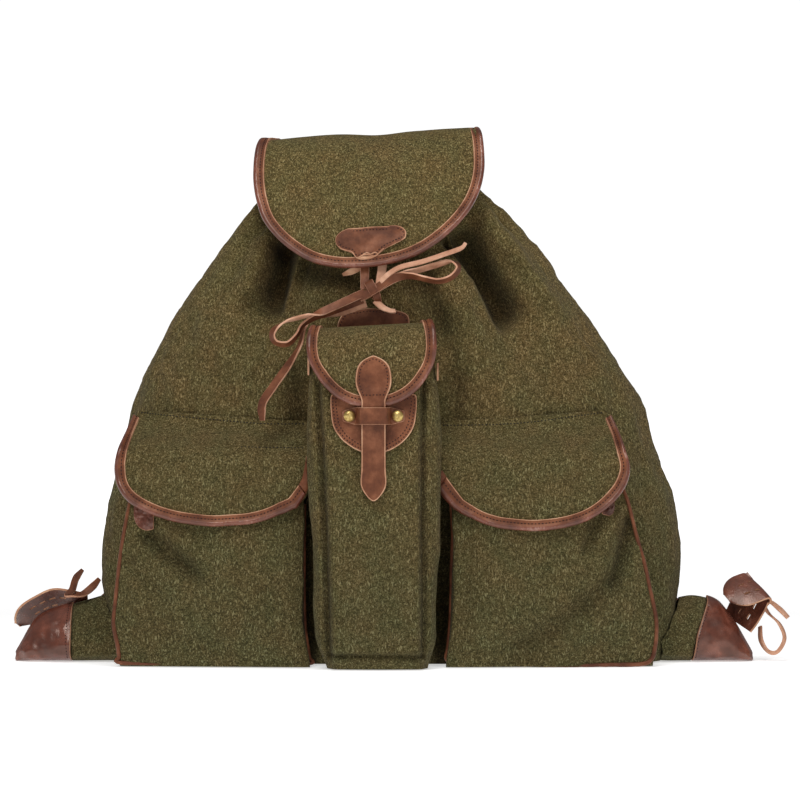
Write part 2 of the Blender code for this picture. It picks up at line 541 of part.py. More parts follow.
def inside_of(spot, ring):
    """Whether a spot of the pattern lies inside a closed outline."""
    crossings = 0
    for a, b in zip(ring, ring[1:] + ring[:1]):
        if (a.y > spot.y) != (b.y > spot.y):
            crossings += spot.x < a.x + (b.x - a.x) * (spot.y - a.y) / (b.y - a.y)
    return crossings % 2 == 1


def ringed(name, rings, material, smooth_angle=50):
    """A closed bar through rings of points, with both ends capped."""
    count = len(rings[0])
    points = [p for ring in rings for p in ring]
    faces = grid_faces(len(rings), count, closed=True)
    faces.append(tuple(range(count)))
    faces.append(tuple((len(rings) - 1) * count + k for k in range(count)))
    return finish(name, turned_outwards(mesh_of(name, points, faces)), material, smooth_angle)


def laid_patch(name, outline, place, thickness, material, step=0.011, inner=0.0035):
    """A flat patch of leather laid on a surface: an outline (x, z), and place gives its middle layer."""
    edge = [Vector(p) for p in outline]
    points = []
    for a, b in zip(edge, edge[1:] + edge[:1]):
        count = max(int(round((b - a).length / step)), 1)
        points += [a + (b - a) * k / count for k in range(count)]
    count = len(points)
    lines = [(k, (k + 1) % count) for k in range(count)]
    ring = list(points)
    for z in np.arange(min(p.y for p in ring), max(p.y for p in ring), step):
        for x in np.arange(min(p.x for p in ring), max(p.x for p in ring), step):
            spot = Vector((x + step / 2, z + step / 2))
            if inside_of(spot, ring) and min(distance_to(spot, a, b) for a, b in zip(ring, ring[1:] + ring[:1])) > inner:
                points.append(spot)
    flat, _, faces, *_ = delaunay_2d_cdt(points, lines, [], 1, 1e-6)
    mesh = mesh_of(name, [place(p.x, p.y) for p in flat], [tuple(f) for f in faces])
    obj = finish(name, turned_outwards(mesh), material, smooth_angle=30)
    solid = obj.modifiers.new("thickness", "SOLIDIFY")
    solid.thickness = thickness
    solid.offset = 0.0
    return obj


def profile_place(profile, left_edge, right_edge, root, shape):
    """The surface of a flap that hangs over a crest. The pattern's v is the length along the profile."""
    line = through([(0.0, y, z) for y, z in profile], 160)
    along = np.concatenate([[0], np.cumsum([(b - a).length for a, b in zip(line, line[1:])])])
    crest = int(np.argmax([p.z for p in line]))
    front = line[crest:]

    def v_of(z):
        """The length along the profile at a height of its front part."""
        return float(np.interp(-z, [-p.z for p in front], along[crest:]))

    def place(u, v):
        y = float(np.interp(v, along, [p.y for p in line]))
        z = float(np.interp(v, along, [p.z for p in line]))
        return shape(u, y, z)

    left = [(root[0], 0.0), (left_edge[0][0] * 0.5 + root[0] * 0.5, v_of(line[crest].z) * 0.45)]
    left += [(u, v_of(z)) for u, z in left_edge]
    right = [(root[1], 0.0), (right_edge[0][0] * 0.5 + root[1] * 0.5, v_of(line[crest].z) * 0.45)]
    right += [(u, v_of(z)) for u, z in right_edge]
    return place, left, right


class Drape:
    """How far out a cloth laid over finished pieces lies: the outermost surface near each place, smoothed, and
    falling away from it no steeper than a slope. It is seen from the front, or from the back."""

    def __init__(self, surface, low, high, spread, step=0.004, slope=1.0, from_back=False):
        self.low, self.step = low, step
        self.way = -1 if from_back else 1
        look = (lambda x, z: -surface.back(x, z, -9.0)) if from_back else (lambda x, z: surface.front(x, z, 9.0))
        across = int((high[0] - low[0]) / step) + 2
        up = int((high[1] - low[1]) / step) + 2
        depth = np.array([[look(low[0] + i * step, low[1] + k * step) for i in range(across)] for k in range(up)])
        reach = int(math.ceil(spread / step))
        nearest = self.window(depth, 2 * reach).min(axis=(2, 3))
        for _ in range(across + up):
            nearest[1:] = np.minimum(nearest[1:], nearest[:-1] + slope * step)
            nearest[:-1] = np.minimum(nearest[:-1], nearest[1:] + slope * step)
            nearest[:, 1:] = np.minimum(nearest[:, 1:], nearest[:, :-1] + slope * step)
            nearest[:, :-1] = np.minimum(nearest[:, :-1], nearest[:, 1:] + slope * step)
        # Two means over half the minimum's reach never lie behind the surface itself.
        once = self.window(nearest, reach).mean(axis=(2, 3))
        self.depth = self.window(once, reach).mean(axis=(2, 3))

    @staticmethod
    def window(field, reach):
        padded = np.pad(field, reach, mode="edge")
        return np.lib.stride_tricks.sliding_window_view(padded, (2 * reach + 1, 2 * reach + 1))

    def y(self, x, z):
        i = min(max((x - self.low[0]) / self.step, 0), self.depth.shape[1] - 1.001)
        k = min(max((z - self.low[1]) / self.step, 0), self.depth.shape[0] - 1.001)
        a, b = int(i), int(k)
        i, k = i - a, k - b
        d = self.depth
        return self.way * float(d[b, a] * (1 - i) * (1 - k) + d[b, a + 1] * i * (1 - k)
                                + d[b + 1, a] * (1 - i) * k + d[b + 1, a + 1] * i * k)


def fold_depth(x, z):
    """How deep the named folds press the front in at this place."""
    depth = 0.0
    for fold in FOLDS:
        row = dict(zip(FOLD_COLUMNS, fold))
        run = Vector((row["foot_x"] - row["top_x"], row["foot_z"] - row["top_z"]))
        offset = Vector((x - row["top_x"], z - row["top_z"]))
        along = offset.dot(run) / run.length_squared
        side = (offset - run * along).length
        fade = smooth_step(-0.25, 0.1, along) * (1 - smooth_step(1 - FOLD_FADE, 1 + FOLD_FADE, along))
        depth += row["depth"] * fade * math.exp(-((side / row["width"]) ** 2))
    return depth


def sack_point(z, turn):
    """A point of the sack's outer surface, at a height and a share of a turn that starts at the right side."""
    row = row_at(SACK, SACK_COLUMNS, z)
    angle = 2 * math.pi * turn
    power = 2 / row["square"]
    across = signed_power(math.cos(angle), power)
    deep = signed_power(math.sin(angle), power)
    middle, half = (row["left"] + row["right"]) / 2, (row["right"] - row["left"]) / 2
    wave = row["gather"] * math.cos(angle * GATHERS)
    in_front = deep < 0
    x = middle + across * (half + wave * 0.5)
    y = deep * ((row["front"] if in_front else row["back"]) + wave)
    if in_front:
        y += min(fold_depth(x, z), 0.6 * abs(y))
    return Vector((x, y, z))


def make_sack():
    """The sack's outer surface, with its foot closed, walled inwards by Solidify."""
    rings = [[sack_point(z, k / SACK_ROUND) for k in range(SACK_ROUND)] for z in SACK_LEVELS]
    points = [p for ring in rings for p in ring]
    faces = grid_faces(len(rings), SACK_ROUND, closed=True)
    faces.append(tuple(range(SACK_ROUND)))
    mesh = turned_outwards(mesh_of("sack", points, faces), Vector((0, 0, 0.2)))
    return wall(finish("sack", mesh, LODEN_GREEN), LODEN)


def surface_of(obj):
    """A tree of an object's outer faces, for finding where its surface lies."""
    graph = bpy.context.evaluated_depsgraph_get()
    return BVHTree.FromObject(obj, graph)


class Surface:
    """The faces of finished pieces, as a place to lay others on."""

    def __init__(self, *objects):
        bpy.context.view_layer.update()
        self.trees = [surface_of(obj) for obj in objects]

    def front(self, x, z, missed=0.0):
        """The Y of the surface seen from the front."""
        hits = [tree.ray_cast(Vector((x, -1.0, z)), Vector((0, 1, 0)))[0] for tree in self.trees]
        found = [hit.y for hit in hits if hit]
        return min(found) if found else missed

    def front_near(self, x, z, reach=0.004, missed=0.0):
        """The Y of the foremost surface within reach of this place."""
        return min(self.front(x + dx, z + dz, missed) for dx in (-reach, 0, reach) for dz in (-reach, 0, reach))

    def back(self, x, z, missed=0.0):
        hits = [tree.ray_cast(Vector((x, 1.0, z)), Vector((0, -1, 0)))[0] for tree in self.trees]
        found = [hit.y for hit in hits if hit]
        return max(found) if found else missed


def wing_ring(x, height, half_depth, middle):
    """A section of a corner: flat on the ground, with a ridge along its top."""
    ring = []
    for k in range(WING_ROUND):
        angle = 2 * math.pi * (k + 0.5) / WING_ROUND
        rise = 0.5 * (1 + signed_power(math.sin(angle), 0.75))
        narrow = 1 - 0.62 * rise ** 1.4
        y = middle + half_depth * signed_power(math.cos(angle), 0.8) * narrow
        ring.append(Vector((x, y, height * rise)))
    return ring


def open_sleeve(name, rings, thickness, material, end_closed):
    """A hollow sleeve of cloth or leather through these rings, walled inwards."""
    points = [p for ring in rings for p in ring]
    faces = grid_faces(len(rings), WING_ROUND, closed=True)
    if end_closed:
        faces.append(tuple((len(rings) - 1) * WING_ROUND + k for k in range(WING_ROUND)))
    centre = sum(points, Vector()) / len(points)
    return wall(finish(name, turned_outwards(mesh_of(name, points, faces), centre), material), thickness)


def make_sack_block():
    """A closed block a little larger than the foot of the sack, to cut the corners off at its side."""
    rings = []
    for z in (-0.012, *[level for level in SACK_LEVELS if level < 0.2]):
        ring = [sack_point(max(z, 0.0), k / SACK_ROUND) for k in range(SACK_ROUND)]
        rings.append([Vector((p.x * WING_CLEAR, p.y * WING_CLEAR, z)) for p in ring])
    block = ringed("sack_block", rings, LODEN_GREEN)
    block.hide_render = True
    return block


def make_corner(side, wing_rows, cap_rows, sack_block):
    """The loden corner, sewn on at the side of the sack, and the leather cap over its end."""
    loden = [wing_ring(**dict(zip(WING_COLUMNS, row))) for row in wing_rows]
    leather = [wing_ring(**dict(zip(WING_COLUMNS, row))) for row in cap_rows]
    wing = open_sleeve(f"corner_wing_{side}", loden, WING_WALL, LODEN_GREEN, False)
    trim = wing.modifiers.new("against_the_sack", "BOOLEAN")
    trim.operation = "DIFFERENCE"
    trim.solver = "EXACT"
    trim.object = sack_block
    open_sleeve(f"corner_cap_{side}", leather, LEATHER, LEATHER_BROWN, True)


def panel_crown(share):
    """How far a stuffed panel bulges at this share of its width, from 0 at the edges to 1 in the middle."""
    return math.sin(math.pi * min(max(share, 0), 1)) ** 0.8


def side_pocket_front(rows, x, z):
    """The Y of a side pocket's front panel."""
    row = row_at(rows, POCKET_COLUMNS, z)
    share = (x - row["outer"]) / (row["inner"] - row["outer"])
    edge = row["outer_y"] + (row["inner_y"] - row["outer_y"]) * min(max(share, 0), 1)
    full = smooth_step(0.0, 0.05, z) * (1 - 0.4 * smooth_step(0.12, 0.18, z))
    return edge - POCKET_CROWN * full * panel_crown(share)


def open_pocket(name, sections, sack, thickness, material):
    """A pocket's front panel, gussets and foot, open at the top and where it is sewn to the sack."""
    count = len(sections[0])
    points = [p for section in sections for p in section]
    faces = grid_faces(len(sections), count)
    low, high = sorted((sections[0][0].x, sections[0][-1].x))
    first = next(k for k, p in enumerate(sections[0]) if k > 1 and low + 0.002 < p.x < high - 0.002)
    last = count - 1 - first
    base = len(points)
    points += [Vector((p.x, sack.front_near(p.x, 0.005) - SEAT, p.z)) for p in sections[0][first:last + 1]]
    faces.append((*range(first + 1), base))
    faces.append((*range(last, count), base + last - first))
    faces += [(k, k + 1, base + k + 1 - first, base + k - first) for k in range(first, last)]
    inside = sum((section[0] + section[-1] for section in sections), Vector()) / (2 * len(sections))
    mesh = turned_outwards(mesh_of(name, points, faces), inside)
    return wall(finish(name, mesh, material, smooth_angle=35), thickness)


def make_side_pocket(side, rows, sack):
    """One side pocket and the leather piping along its front seam."""
    sections, outer_edge, inner_edge = [], [], []
    for z in column(rows, POCKET_COLUMNS, "z"):
        row = row_at(rows, POCKET_COLUMNS, z)
        outer, inner = row["outer"], row["inner"]
        way = 1 if inner > outer else -1
        ends = (outer + way * 0.004, inner - way * 0.004)
        roots = [sack.front_near(x, max(z, 0.012)) - SEAT for x in ends]
        section = [Vector((ends[0], roots[0], z)),
                   Vector((outer + way * 0.001, (roots[0] + row["outer_y"]) / 2, z))]
        for k in range(POCKET_PANEL_STEPS + 1):
            x = outer + (inner - outer) * k / POCKET_PANEL_STEPS
            section.append(Vector((x, side_pocket_front(rows, x, z), z)))
        section += [Vector((inner - way * 0.001, (roots[1] + row["inner_y"]) / 2, z)),
                    Vector((ends[1], roots[1], z))]
        sections.append(section)
        out = Vector((-way * 0.7, -0.7, 0)) * (PIPING_R + SEAT + 0.0005)
        outer_edge.append(section[2] + out)
        inner_edge.append(section[-3] + Vector((-out.x, out.y, 0)))
    open_pocket(f"side_pocket_{side}", sections, sack, LODEN, LODEN_GREEN)
    low = PIPING_R + 0.0003
    foot = [Vector((p.x, side_pocket_front(rows, p.x, 0.004) - PIPING_R - 0.0008, low)) for p in sections[0][2:-2:2]]
    foot = [foot[0] + Vector((-way * 0.001, 0, 0)), *foot[1:-1], foot[-1] + Vector((way * 0.001, 0, 0))]
    path = outer_edge[:0:-1] + foot + inner_edge[1:]
    tube(f"side_piping_{side}", path, PIPING_R, LEATHER_BROWN)


def make_side_tab(side, outline, pocket):
    """The small leather tab on the pocket's front, half under the flap's lower corner."""
    laid_patch(f"side_tab_{side}", outline,
               lambda x, z: Vector((x, pocket.front_near(x, z, 0.0015) - 0.0011, z)), 0.0016, LEATHER_BROWN)


def make_side_flap(side, outer, inner, mouth, surface, sack):
    """One side pocket's flap, draped from its seam on the sack over the pocket's mouth, and its binding."""
    low = (min(outer[4][0], inner[3][0]) - 0.02, 0.10)
    high = (max(outer[4][0], inner[3][0]) + 0.02, 0.235)
    drape = Drape(surface, low, high, 0.0050, 0.0025, 0.9)
    seam = Drape(sack, low, high, 0.0050, 0.0025, 1.2)
    room = FLAP / 2 + BINDING_ROOM + BINDING_WALL + 0.0004
    seat = SEAT + FLAP / 2
    ends = sorted(((outer[0][0], outer[0][1]), (inner[0][0], inner[0][1])))

    def place(x, z):
        root_z = float(np.interp(x, [p[0] for p in ends], [p[1] for p in ends]))
        free = 1 - smooth_step(root_z - ROOT_STEP, root_z, z)
        on_sack = seam.y(x, z) + 0.0009 - seat - (room - seat) * free
        sewn = smooth_step(mouth + 0.004, root_z, z)
        over = drape.y(x, z) - room
        return Vector((x, over + (on_sack - over) * sewn, z))

    left, right = (outer, inner) if outer[0][0] < inner[0][0] else (inner, outer)
    panel = Panel(left, right, place, FLAP_STEP, (sum(p[0] for p in outer) / len(outer), 0.10, 0.16))
    panel.sheet(f"side_flap_{side}", FLAP, LODEN_GREEN)
    panel.binding(f"side_flap_binding_{side}", FLAP, LEATHER_BROWN)


def centre_front(x, z):
    """The Y of the centre pocket's front panel."""
    row = row_at(CENTRE, CENTRE_COLUMNS, z)
    share = (x - row["seam_left"]) / (row["seam_right"] - row["seam_left"])
    return row["front"] - CENTRE_CROWN * panel_crown(share)


def make_centre_pocket(sack):
    """The centre pocket: a front panel with a pinched ridge along each seam and bulging gussets."""
    sections = []
    for z in column(CENTRE, CENTRE_COLUMNS, "z"):
        row = row_at(CENTRE, CENTRE_COLUMNS, z)
        section = []
        for edge, seam, way in ((row["left"], row["seam_left"], 1), (row["right"], row["seam_right"], -1)):
            root_x = edge + way * 0.006
            root = sack.front_near(root_x, max(z, 0.010)) - SEAT
            part = [Vector((root_x, root, z)),
                    Vector((edge + way * 0.001, (root + row["front"]) / 2, z)),
                    Vector((edge, row["front"] + 0.016, z)),
                    Vector((edge + way * 0.004, row["front"] + 0.006, z)),
                    Vector((seam - way * 0.0015, row["front"] + 0.003, z)),
                    Vector((seam + way * 0.001, row["front"] - 0.001, z))]
            section.append(part)
        panel = [Vector((x, centre_front(x, z), z))
                 for x in np.linspace(row["seam_left"], row["seam_right"], 6)[1:-1]]
        sections.append(section[0] + panel + section[1][::-1])
    open_pocket("centre_pocket", sections, sack, LODEN, LODEN_GREEN)


def make_centre_flap(sack):
    """The centre pocket's flap and its binding."""

    def shape(u, y, z):
        share = (u - CENTRE_ROOT[0]) / (CENTRE_ROOT[1] - CENTRE_ROOT[0])
        return Vector((u, y - 0.004 * panel_crown(share) * smooth_step(-0.09, -0.14, y), z))

    place, left, right = profile_place(CENTRE_PROFILE, CENTRE_FLAP_LEFT, CENTRE_FLAP_RIGHT, CENTRE_ROOT, shape)
    panel = Panel(left, right, place, 0.0135, (-0.023, -0.09, 0.25))
    panel.sheet("centre_flap", FLAP, LODEN_GREEN)
    panel.binding("centre_flap_binding", FLAP, LEATHER_BROWN)


def make_closure(pocket):
    """The centre pocket's closure: a round patch, the strap with its tongue on the flap, the keeper and rivets."""
    right = [(CLOSURE_X + half, z) for z, half in CLOSURE_PATCH]
    left = [(CLOSURE_X - half, z) for z, half in CLOSURE_PATCH]
    drape = Drape(pocket, (-0.075, 0.13), (0.03, 0.245), 0.004)
    laid_patch("closure_patch", right + left[::-1],
               lambda x, z: Vector((x, drape.y(x, z) - SEAT - LEATHER / 2, z)), LEATHER, LEATHER_BROWN)
    depth_z, depth_y = zip(*STRAP_DEPTH)
    stations = []
    for z, half in CLOSURE_STRAP:
        y = curve_through(depth_z, depth_y, z)
        stations.append([Vector((CLOSURE_X + a, y + b, z)) for a, b in
                         ((-half, -0.001), (half, -0.001), (half, 0.001), (-half, 0.001))])
    ringed("closure_strap", stations, LEATHER_BROWN)
    patch_front = min(drape.y(CLOSURE_X + a, 0.2155 + c) for a in (0.0125, 0.0245) for c in (-0.007, 0.007))
    patch_front -= SEAT + LEATHER + 0.0013
    over = curve_through(depth_z, depth_y, 0.2230) - 0.0024
    band = ((0.0255, 0.0), (0.0150, 0.0), (0.0125, 0.6), (0.0108, 1.0), (0.0, 1.0))
    half_band = [(a, patch_front + (over - patch_front) * lift) for a, lift in band]
    line = [(-a, y) for a, y in half_band] + [(a, y) for a, y in half_band[-2::-1]]
    rings = []
    for k, (a, y) in enumerate(line):
        narrow = 0.0042 if k in (0, len(line) - 1) else 0.0070
        rings.append([Vector((CLOSURE_X + a, y + b, 0.2155 + c)) for b, c in
                      ((-0.0009, -narrow), (0.0009, -narrow), (0.0009, narrow), (-0.0009, narrow))])
    ringed("closure_keeper", rings, LEATHER_BROWN)
    for side, way in (("left", -1), ("right", 1)):
        centre = Vector((CLOSURE_X + way * 0.0203, patch_front - 0.0012, 0.2155))
        rings = [[centre + Vector((r * math.cos(t), -lift, r * math.sin(t)))
                  for t in np.linspace(0, 2 * math.pi, 11)[:-1]]
                 for r, lift in ((0.0044, 0.0), (0.0049, 0.0007), (0.0042, 0.0020), (0.0020, 0.0031))]
        ringed(f"rivet_{side}", rings, BRASS)


def make_top_flap():
    """The lid: sewn to the back of the sack, over its mouth and down the front, with a bound edge."""

    def shape(u, y, z):
        from_middle = (u + 0.027) / 0.0975
        over = smooth_step(0.05, 0.0, y)
        droop = TOP_FLAP_DROOP * from_middle ** 2
        fall = smooth_step(-0.02, -0.07, y)
        return Vector((u, y + droop * fall - 0.35 * droop * smooth_step(0.03, 0.06, y),
                       z + (TOP_FLAP_TILT * from_middle - 0.25 * droop) * over * (1 - 0.8 * fall)))

    place, left, right = profile_place(TOP_PROFILE, TOP_FLAP_LEFT, TOP_FLAP_RIGHT, TOP_ROOT, shape)
    panel = Panel(left, right, place, TOP_STEP, (-0.027, 0.0, 0.38))
    panel.sheet("top_flap", FLAP, LODEN_GREEN)
    panel.binding("top_flap_binding", FLAP, LEATHER_BROWN)


def lace(name, rows, width=LACE_WIDTH, thickness=LACE_THICK, count=None):
    """A flat leather lace along a table's middle line, its broad face turned as the table says."""
    count = count or int(1.6 * len(rows))
    points = through(columns(rows, LACE_COLUMNS, "xyz"), count)
    facing = directions(columns(rows, LACE_COLUMNS, ("face_x", "face_y", "face_z")), count)
    return swept(name, strap_stations(points, facing), bar(width, thickness), LEATHER_BROWN)


def make_bow(sack):
    """The drawstring from the gathered neck, its two stretches down the front, and the bow tied in it."""
    row = row_at(SACK, SACK_COLUMNS, NECK_Z)
    half = (row["right"] - row["left"]) / 2 + 0.5 * row["gather"] + 0.0075
    middle = (row["right"] + row["left"]) / 2
    deep = row["front"] + row["gather"] + 0.0042
    stations = []
    for turn in np.linspace(0, 1, 27)[:-1]:
        angle = 2 * math.pi * turn
        place = Vector((middle + half * signed_power(math.cos(angle), 2 / 2.1),
                        deep * signed_power(math.sin(angle), 2 / 2.1), NECK_Z))
        out = Vector((math.cos(angle) / half, math.sin(angle) / deep, 0)).normalized()
        stations.append((place, Vector((0, 0, 1)), out))
    profile = bar(LACE_WIDTH, LACE_THICK)
    points = [place + across * a + out * b for place, across, out in stations for a, b in profile]
    count = len(stations)
    faces = [(i * 4 + k, i * 4 + (k + 1) % 4, (i + 1) % count * 4 + (k + 1) % 4, (i + 1) % count * 4 + k)
             for i in range(count) for k in range(4)]
    finish("drawstring", turned_outwards(mesh_of("drawstring", points, faces)), LEATHER_BROWN)
    drape = Drape(sack, (-0.06, 0.32), (0.02, 0.42), 0.006)
    for side, line in (("left", RISER_LEFT), ("right", RISER_RIGHT)):
        rows = [(x, min(y, drape.y(x, z) - 0.002), z, 0, -1, 0.1) for x, y, z in line]
        end = NECK_Z - LACE_WIDTH / 2 - 0.0006
        rows.append((line[-1][0], -0.0700, 0.4060, 0, -1, 0.2))
        rows.append((line[-1][0], -deep - 0.0002, end, 0, -1, 0.2))
        lace(f"riser_{side}", rows)
    x, y, z = KNOT
    wide, deep, tall = KNOT_SIZE
    rings = []
    for share in (-0.94, -0.6, 0.0, 0.6, 0.94):
        size = math.sqrt(1 - share * share) ** 0.7
        rings.append([Vector((x + tall * share * 0.45 + wide * size * signed_power(math.cos(t), 0.8),
                              y + deep * size * signed_power(math.sin(t), 0.8), z + tall * share))
                      for t in np.linspace(0, 2 * math.pi, 13)[:-1]])
    ringed("bow_knot", rings, LEATHER_BROWN)
    lace("bow_loop_left", BOW_LOOP_LEFT)
    lace("bow_loop_right", BOW_LOOP_RIGHT)
    lace("bow_tail_left", BOW_TAIL_LEFT)
    lace("bow_tail_right", BOW_TAIL_RIGHT)
    lace("bow_short_end", BOW_SHORT_END, 0.0055, 0.0015, 5)


def corner_tab(name, rows):
    """A leather tongue with a rounded end."""
    count = 12
    points = through(columns(rows, TAB_COLUMNS, "xyz"), count)
    sides = directions(columns(rows, TAB_COLUMNS, ("side_x", "side_y", "side_z")), count)
    length = sum((b - a).length for a, b in zip(points, points[1:]))
    stations = []
    for k, (place, side) in enumerate(zip(points, sides)):
        along = (points[min(k + 1, count - 1)] - points[max(k - 1, 0)]).normalized()
        side = (side - along * along.dot(side)).normalized()
        to_end = (1 - k / (count - 1)) * length
        round_r = CORNER_TAB_WIDTH / 2
        half = round_r if to_end > round_r else math.sqrt(max(round_r ** 2 - (round_r - to_end) ** 2, 0.007 ** 2))
        out = along.cross(side)
        stations.append([place + side * a + out * b for a, b in
                         ((-half, -0.001), (half, -0.001), (half, 0.001), (-half, 0.001))])
    return ringed(name, stations, LEATHER_BROWN)


def make_shoulder_strap(side, reach, back, cap):
    """A carrying strap, from the yoke at the top of the back down to the cap of the corner."""
    line = [(STRAP_MIDDLE + (x - STRAP_MIDDLE) * reach, y, z) for x, y, z in SHOULDER_STRAP]
    line[:2] = [(x, back.y(x, z) + lift, z) for (x, _, z), lift in zip(line, (0.0090, 0.0100))]
    points = through(line, 16)
    widths = np.interp(np.linspace(0, 1, 16), np.linspace(0, 1, len(SHOULDER_WIDTH)), SHOULDER_WIDTH)
    end = points[-1]
    touch = cap.back(end.x, end.z, 0.03)
    points[-1] = Vector((end.x, touch + SHOULDER_THICK / 2 + 0.003, end.z))
    rings = []
    for place, across, out in strap_stations(points, (0, 1, 0.15)):
        w = widths[len(rings)] / 2
        t = SHOULDER_THICK / 2
        rings.append([place + across * a + out * b for a, b in ((-w, -t), (w, -t), (w, t), (-w, t))])
    ringed(f"shoulder_strap_{side}", rings, LEATHER_BROWN)


def main():
    sack = make_sack()
    sack_block = make_sack_block()
    make_corner("left", LEFT_WING, LEFT_CAP, sack_block)
    make_corner("right", RIGHT_WING, RIGHT_CAP, sack_block)
    laid = Surface(sack)
    make_side_pocket("left", LEFT_POCKET, laid)
    make_side_pocket("right", RIGHT_POCKET, laid)
    make_centre_pocket(laid)
    found = bpy.data.objects
    for side, outline in (("left", LEFT_TAB), ("right", RIGHT_TAB)):
        make_side_tab(side, outline, Surface(found[f"side_pocket_{side}"]))
    for side, outer, inner in (("left", LEFT_FLAP_OUTER, LEFT_FLAP_INNER),
                               ("right", RIGHT_FLAP_OUTER, RIGHT_FLAP_INNER)):
        under = Surface(sack, found[f"side_pocket_{side}"], found[f"side_piping_{side}"], found[f"side_tab_{side}"])
        make_side_flap(side, outer, inner, 0.178, under, laid)
    make_centre_flap(laid)
    make_closure(Surface(found["centre_pocket"]))
    for side, x, top in (("left", -0.0776, 0.2645), ("right", 0.0319, 0.2600)):
        rows = [(x, -0.127, top - 0.014, -1, 0, 0), (x, -0.127, top - 0.007, -1, 0, 0), (x, -0.127, top, -1, 0, 0)]
        lace(f"mouth_tab_{side}", rows, 0.012, 0.0016, 3)
    front = Drape(laid, (-0.07, 0.27), (0.02, 0.32), 0.006)
    laid_patch("front_patch", FRONT_PATCH, lambda x, z: Vector((x, front.y(x, z) - SEAT - 0.001, z)), 0.0018,
               LEATHER_BROWN)
    make_top_flap()
    lid = Drape(Surface(found["top_flap"], found["top_flap_binding"]), (-0.07, 0.34), (0.02, 0.39), 0.004, 0.002)
    laid_patch("flap_patch", FLAP_PATCH, lambda x, z: Vector((x, lid.y(x, z) - 0.0003, z)), 0.0016,
               LEATHER_BROWN, inner=0.003)
    make_bow(laid)
    corner_tab("corner_tab_left", LEFT_CORNER_TAB)
    corner_tab("corner_tab_right", RIGHT_CORNER_TAB)
    lace("corner_lace_left", CORNER_LACE_LEFT, 0.0065)
    lace("corner_lace_right", CORNER_LACE_RIGHT, 0.0065)
    caps = Surface(found["corner_cap_left"], found["corner_cap_right"])
    back = Drape(laid, (-0.09, 0.33), (0.05, 0.42), 0.006, from_back=True)
    laid_patch("strap_yoke", YOKE, lambda x, z: Vector((x, back.y(x, z) + SEAT + 0.001, z)), 0.002, LEATHER_BROWN,
               step=0.018)
    make_shoulder_strap("left", 1, back, caps)
    make_shoulder_strap("right", -RIGHT_STRAP_REACH, back, caps)


def plain_material(name, colour, roughness, metallic=0.0):
    material = bpy.data.materials.new(name)
    material.use_nodes = True
    shader = material.node_tree.nodes["Principled BSDF"]
    shader.inputs["Base Color"].default_value = (*colour, 1.0)
    shader.inputs["Roughness"].default_value = roughness
    shader.inputs["Metallic"].default_value = metallic
    material.diffuse_color = (*colour, 1.0)
    return material


for old in list(bpy.data.objects):
    bpy.data.objects.remove(old)
RUCKSACK = bpy.data.collections.new("loden_rucksack")
bpy.context.scene.collection.children.link(RUCKSACK)
LODEN_GREEN = plain_material("loden_green", (0.085, 0.08, 0.03), 0.95)
LEATHER_BROWN = plain_material("leather_brown", (0.13, 0.05, 0.035), 0.5)
BRASS = plain_material("brass", (0.62, 0.48, 0.2), 0.35, 1.0)
main()
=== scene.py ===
# %% [markdown]
# # A loden rucksack with leather trim
# This script dresses a plain, faceted rucksack in cloth, leather, thread and brass.
# The faceted solids are the frame: they say where every piece is and how big it is.
# Each cell below makes one kind of piece or one finish, and prints what it made.

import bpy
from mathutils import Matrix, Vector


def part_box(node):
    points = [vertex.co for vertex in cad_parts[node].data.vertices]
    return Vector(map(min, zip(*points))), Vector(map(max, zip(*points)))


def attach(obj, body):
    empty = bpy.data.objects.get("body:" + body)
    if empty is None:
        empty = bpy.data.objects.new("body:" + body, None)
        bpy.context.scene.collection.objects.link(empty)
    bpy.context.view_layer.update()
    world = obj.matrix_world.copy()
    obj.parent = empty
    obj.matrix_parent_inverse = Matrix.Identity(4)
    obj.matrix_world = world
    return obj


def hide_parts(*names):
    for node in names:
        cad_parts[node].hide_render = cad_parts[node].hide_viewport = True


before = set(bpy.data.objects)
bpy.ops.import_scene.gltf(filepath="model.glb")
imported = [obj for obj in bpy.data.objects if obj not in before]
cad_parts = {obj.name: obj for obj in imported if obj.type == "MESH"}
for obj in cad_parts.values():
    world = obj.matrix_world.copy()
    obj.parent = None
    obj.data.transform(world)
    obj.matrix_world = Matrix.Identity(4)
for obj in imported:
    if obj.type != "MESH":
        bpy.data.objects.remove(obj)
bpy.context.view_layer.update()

# %% [markdown]
# Blender's own modules do the modelling. Numpy moves many points in one go.
# One collection holds all that is new, so that the frame's own objects stay apart.

# %% Modules and a collection
import math

import bmesh
import bpy
import numpy as np
from mathutils import Vector, noise
from mathutils.bvhtree import BVHTree

BODY = "root"
DRESSED = bpy.data.collections.new("dressed_rucksack")
bpy.context.scene.collection.children.link(DRESSED)

# %% [markdown]
# The camera stands where the photographer stood: level with the middle of the rucksack, straight in front
# of it and a few steps back, so that a long lens shows hardly any perspective. Its view is square.
# Making the camera first lets every later look at the scene use it.

# %% The camera
CAMERA_PLACE = Vector((0.0, -3.6, 0.229))
VIEW_WIDTH = 0.704
SENSOR_WIDTH = 36.0
camera_data = bpy.data.cameras.new("photo_camera")
camera_data.sensor_width = SENSOR_WIDTH
camera_data.lens = SENSOR_WIDTH * -CAMERA_PLACE.y / VIEW_WIDTH
camera = bpy.data.objects.new("photo_camera", camera_data)
camera.location = CAMERA_PLACE
camera.rotation_euler = (math.radians(90), 0, 0)
bpy.context.scene.collection.objects.link(camera)
bpy.context.scene.camera = camera
print("the lens is", round(camera_data.lens, 1), "mm")

# %% [markdown]
# A node tree is quicker to read when each node takes one line. These helpers add a node with its settings,
# and join sockets by name. Materials and Geometry Nodes both use them. Every pattern is laid out on the
# object's own coordinates, so that it stays where it is when the rucksack is carried about.

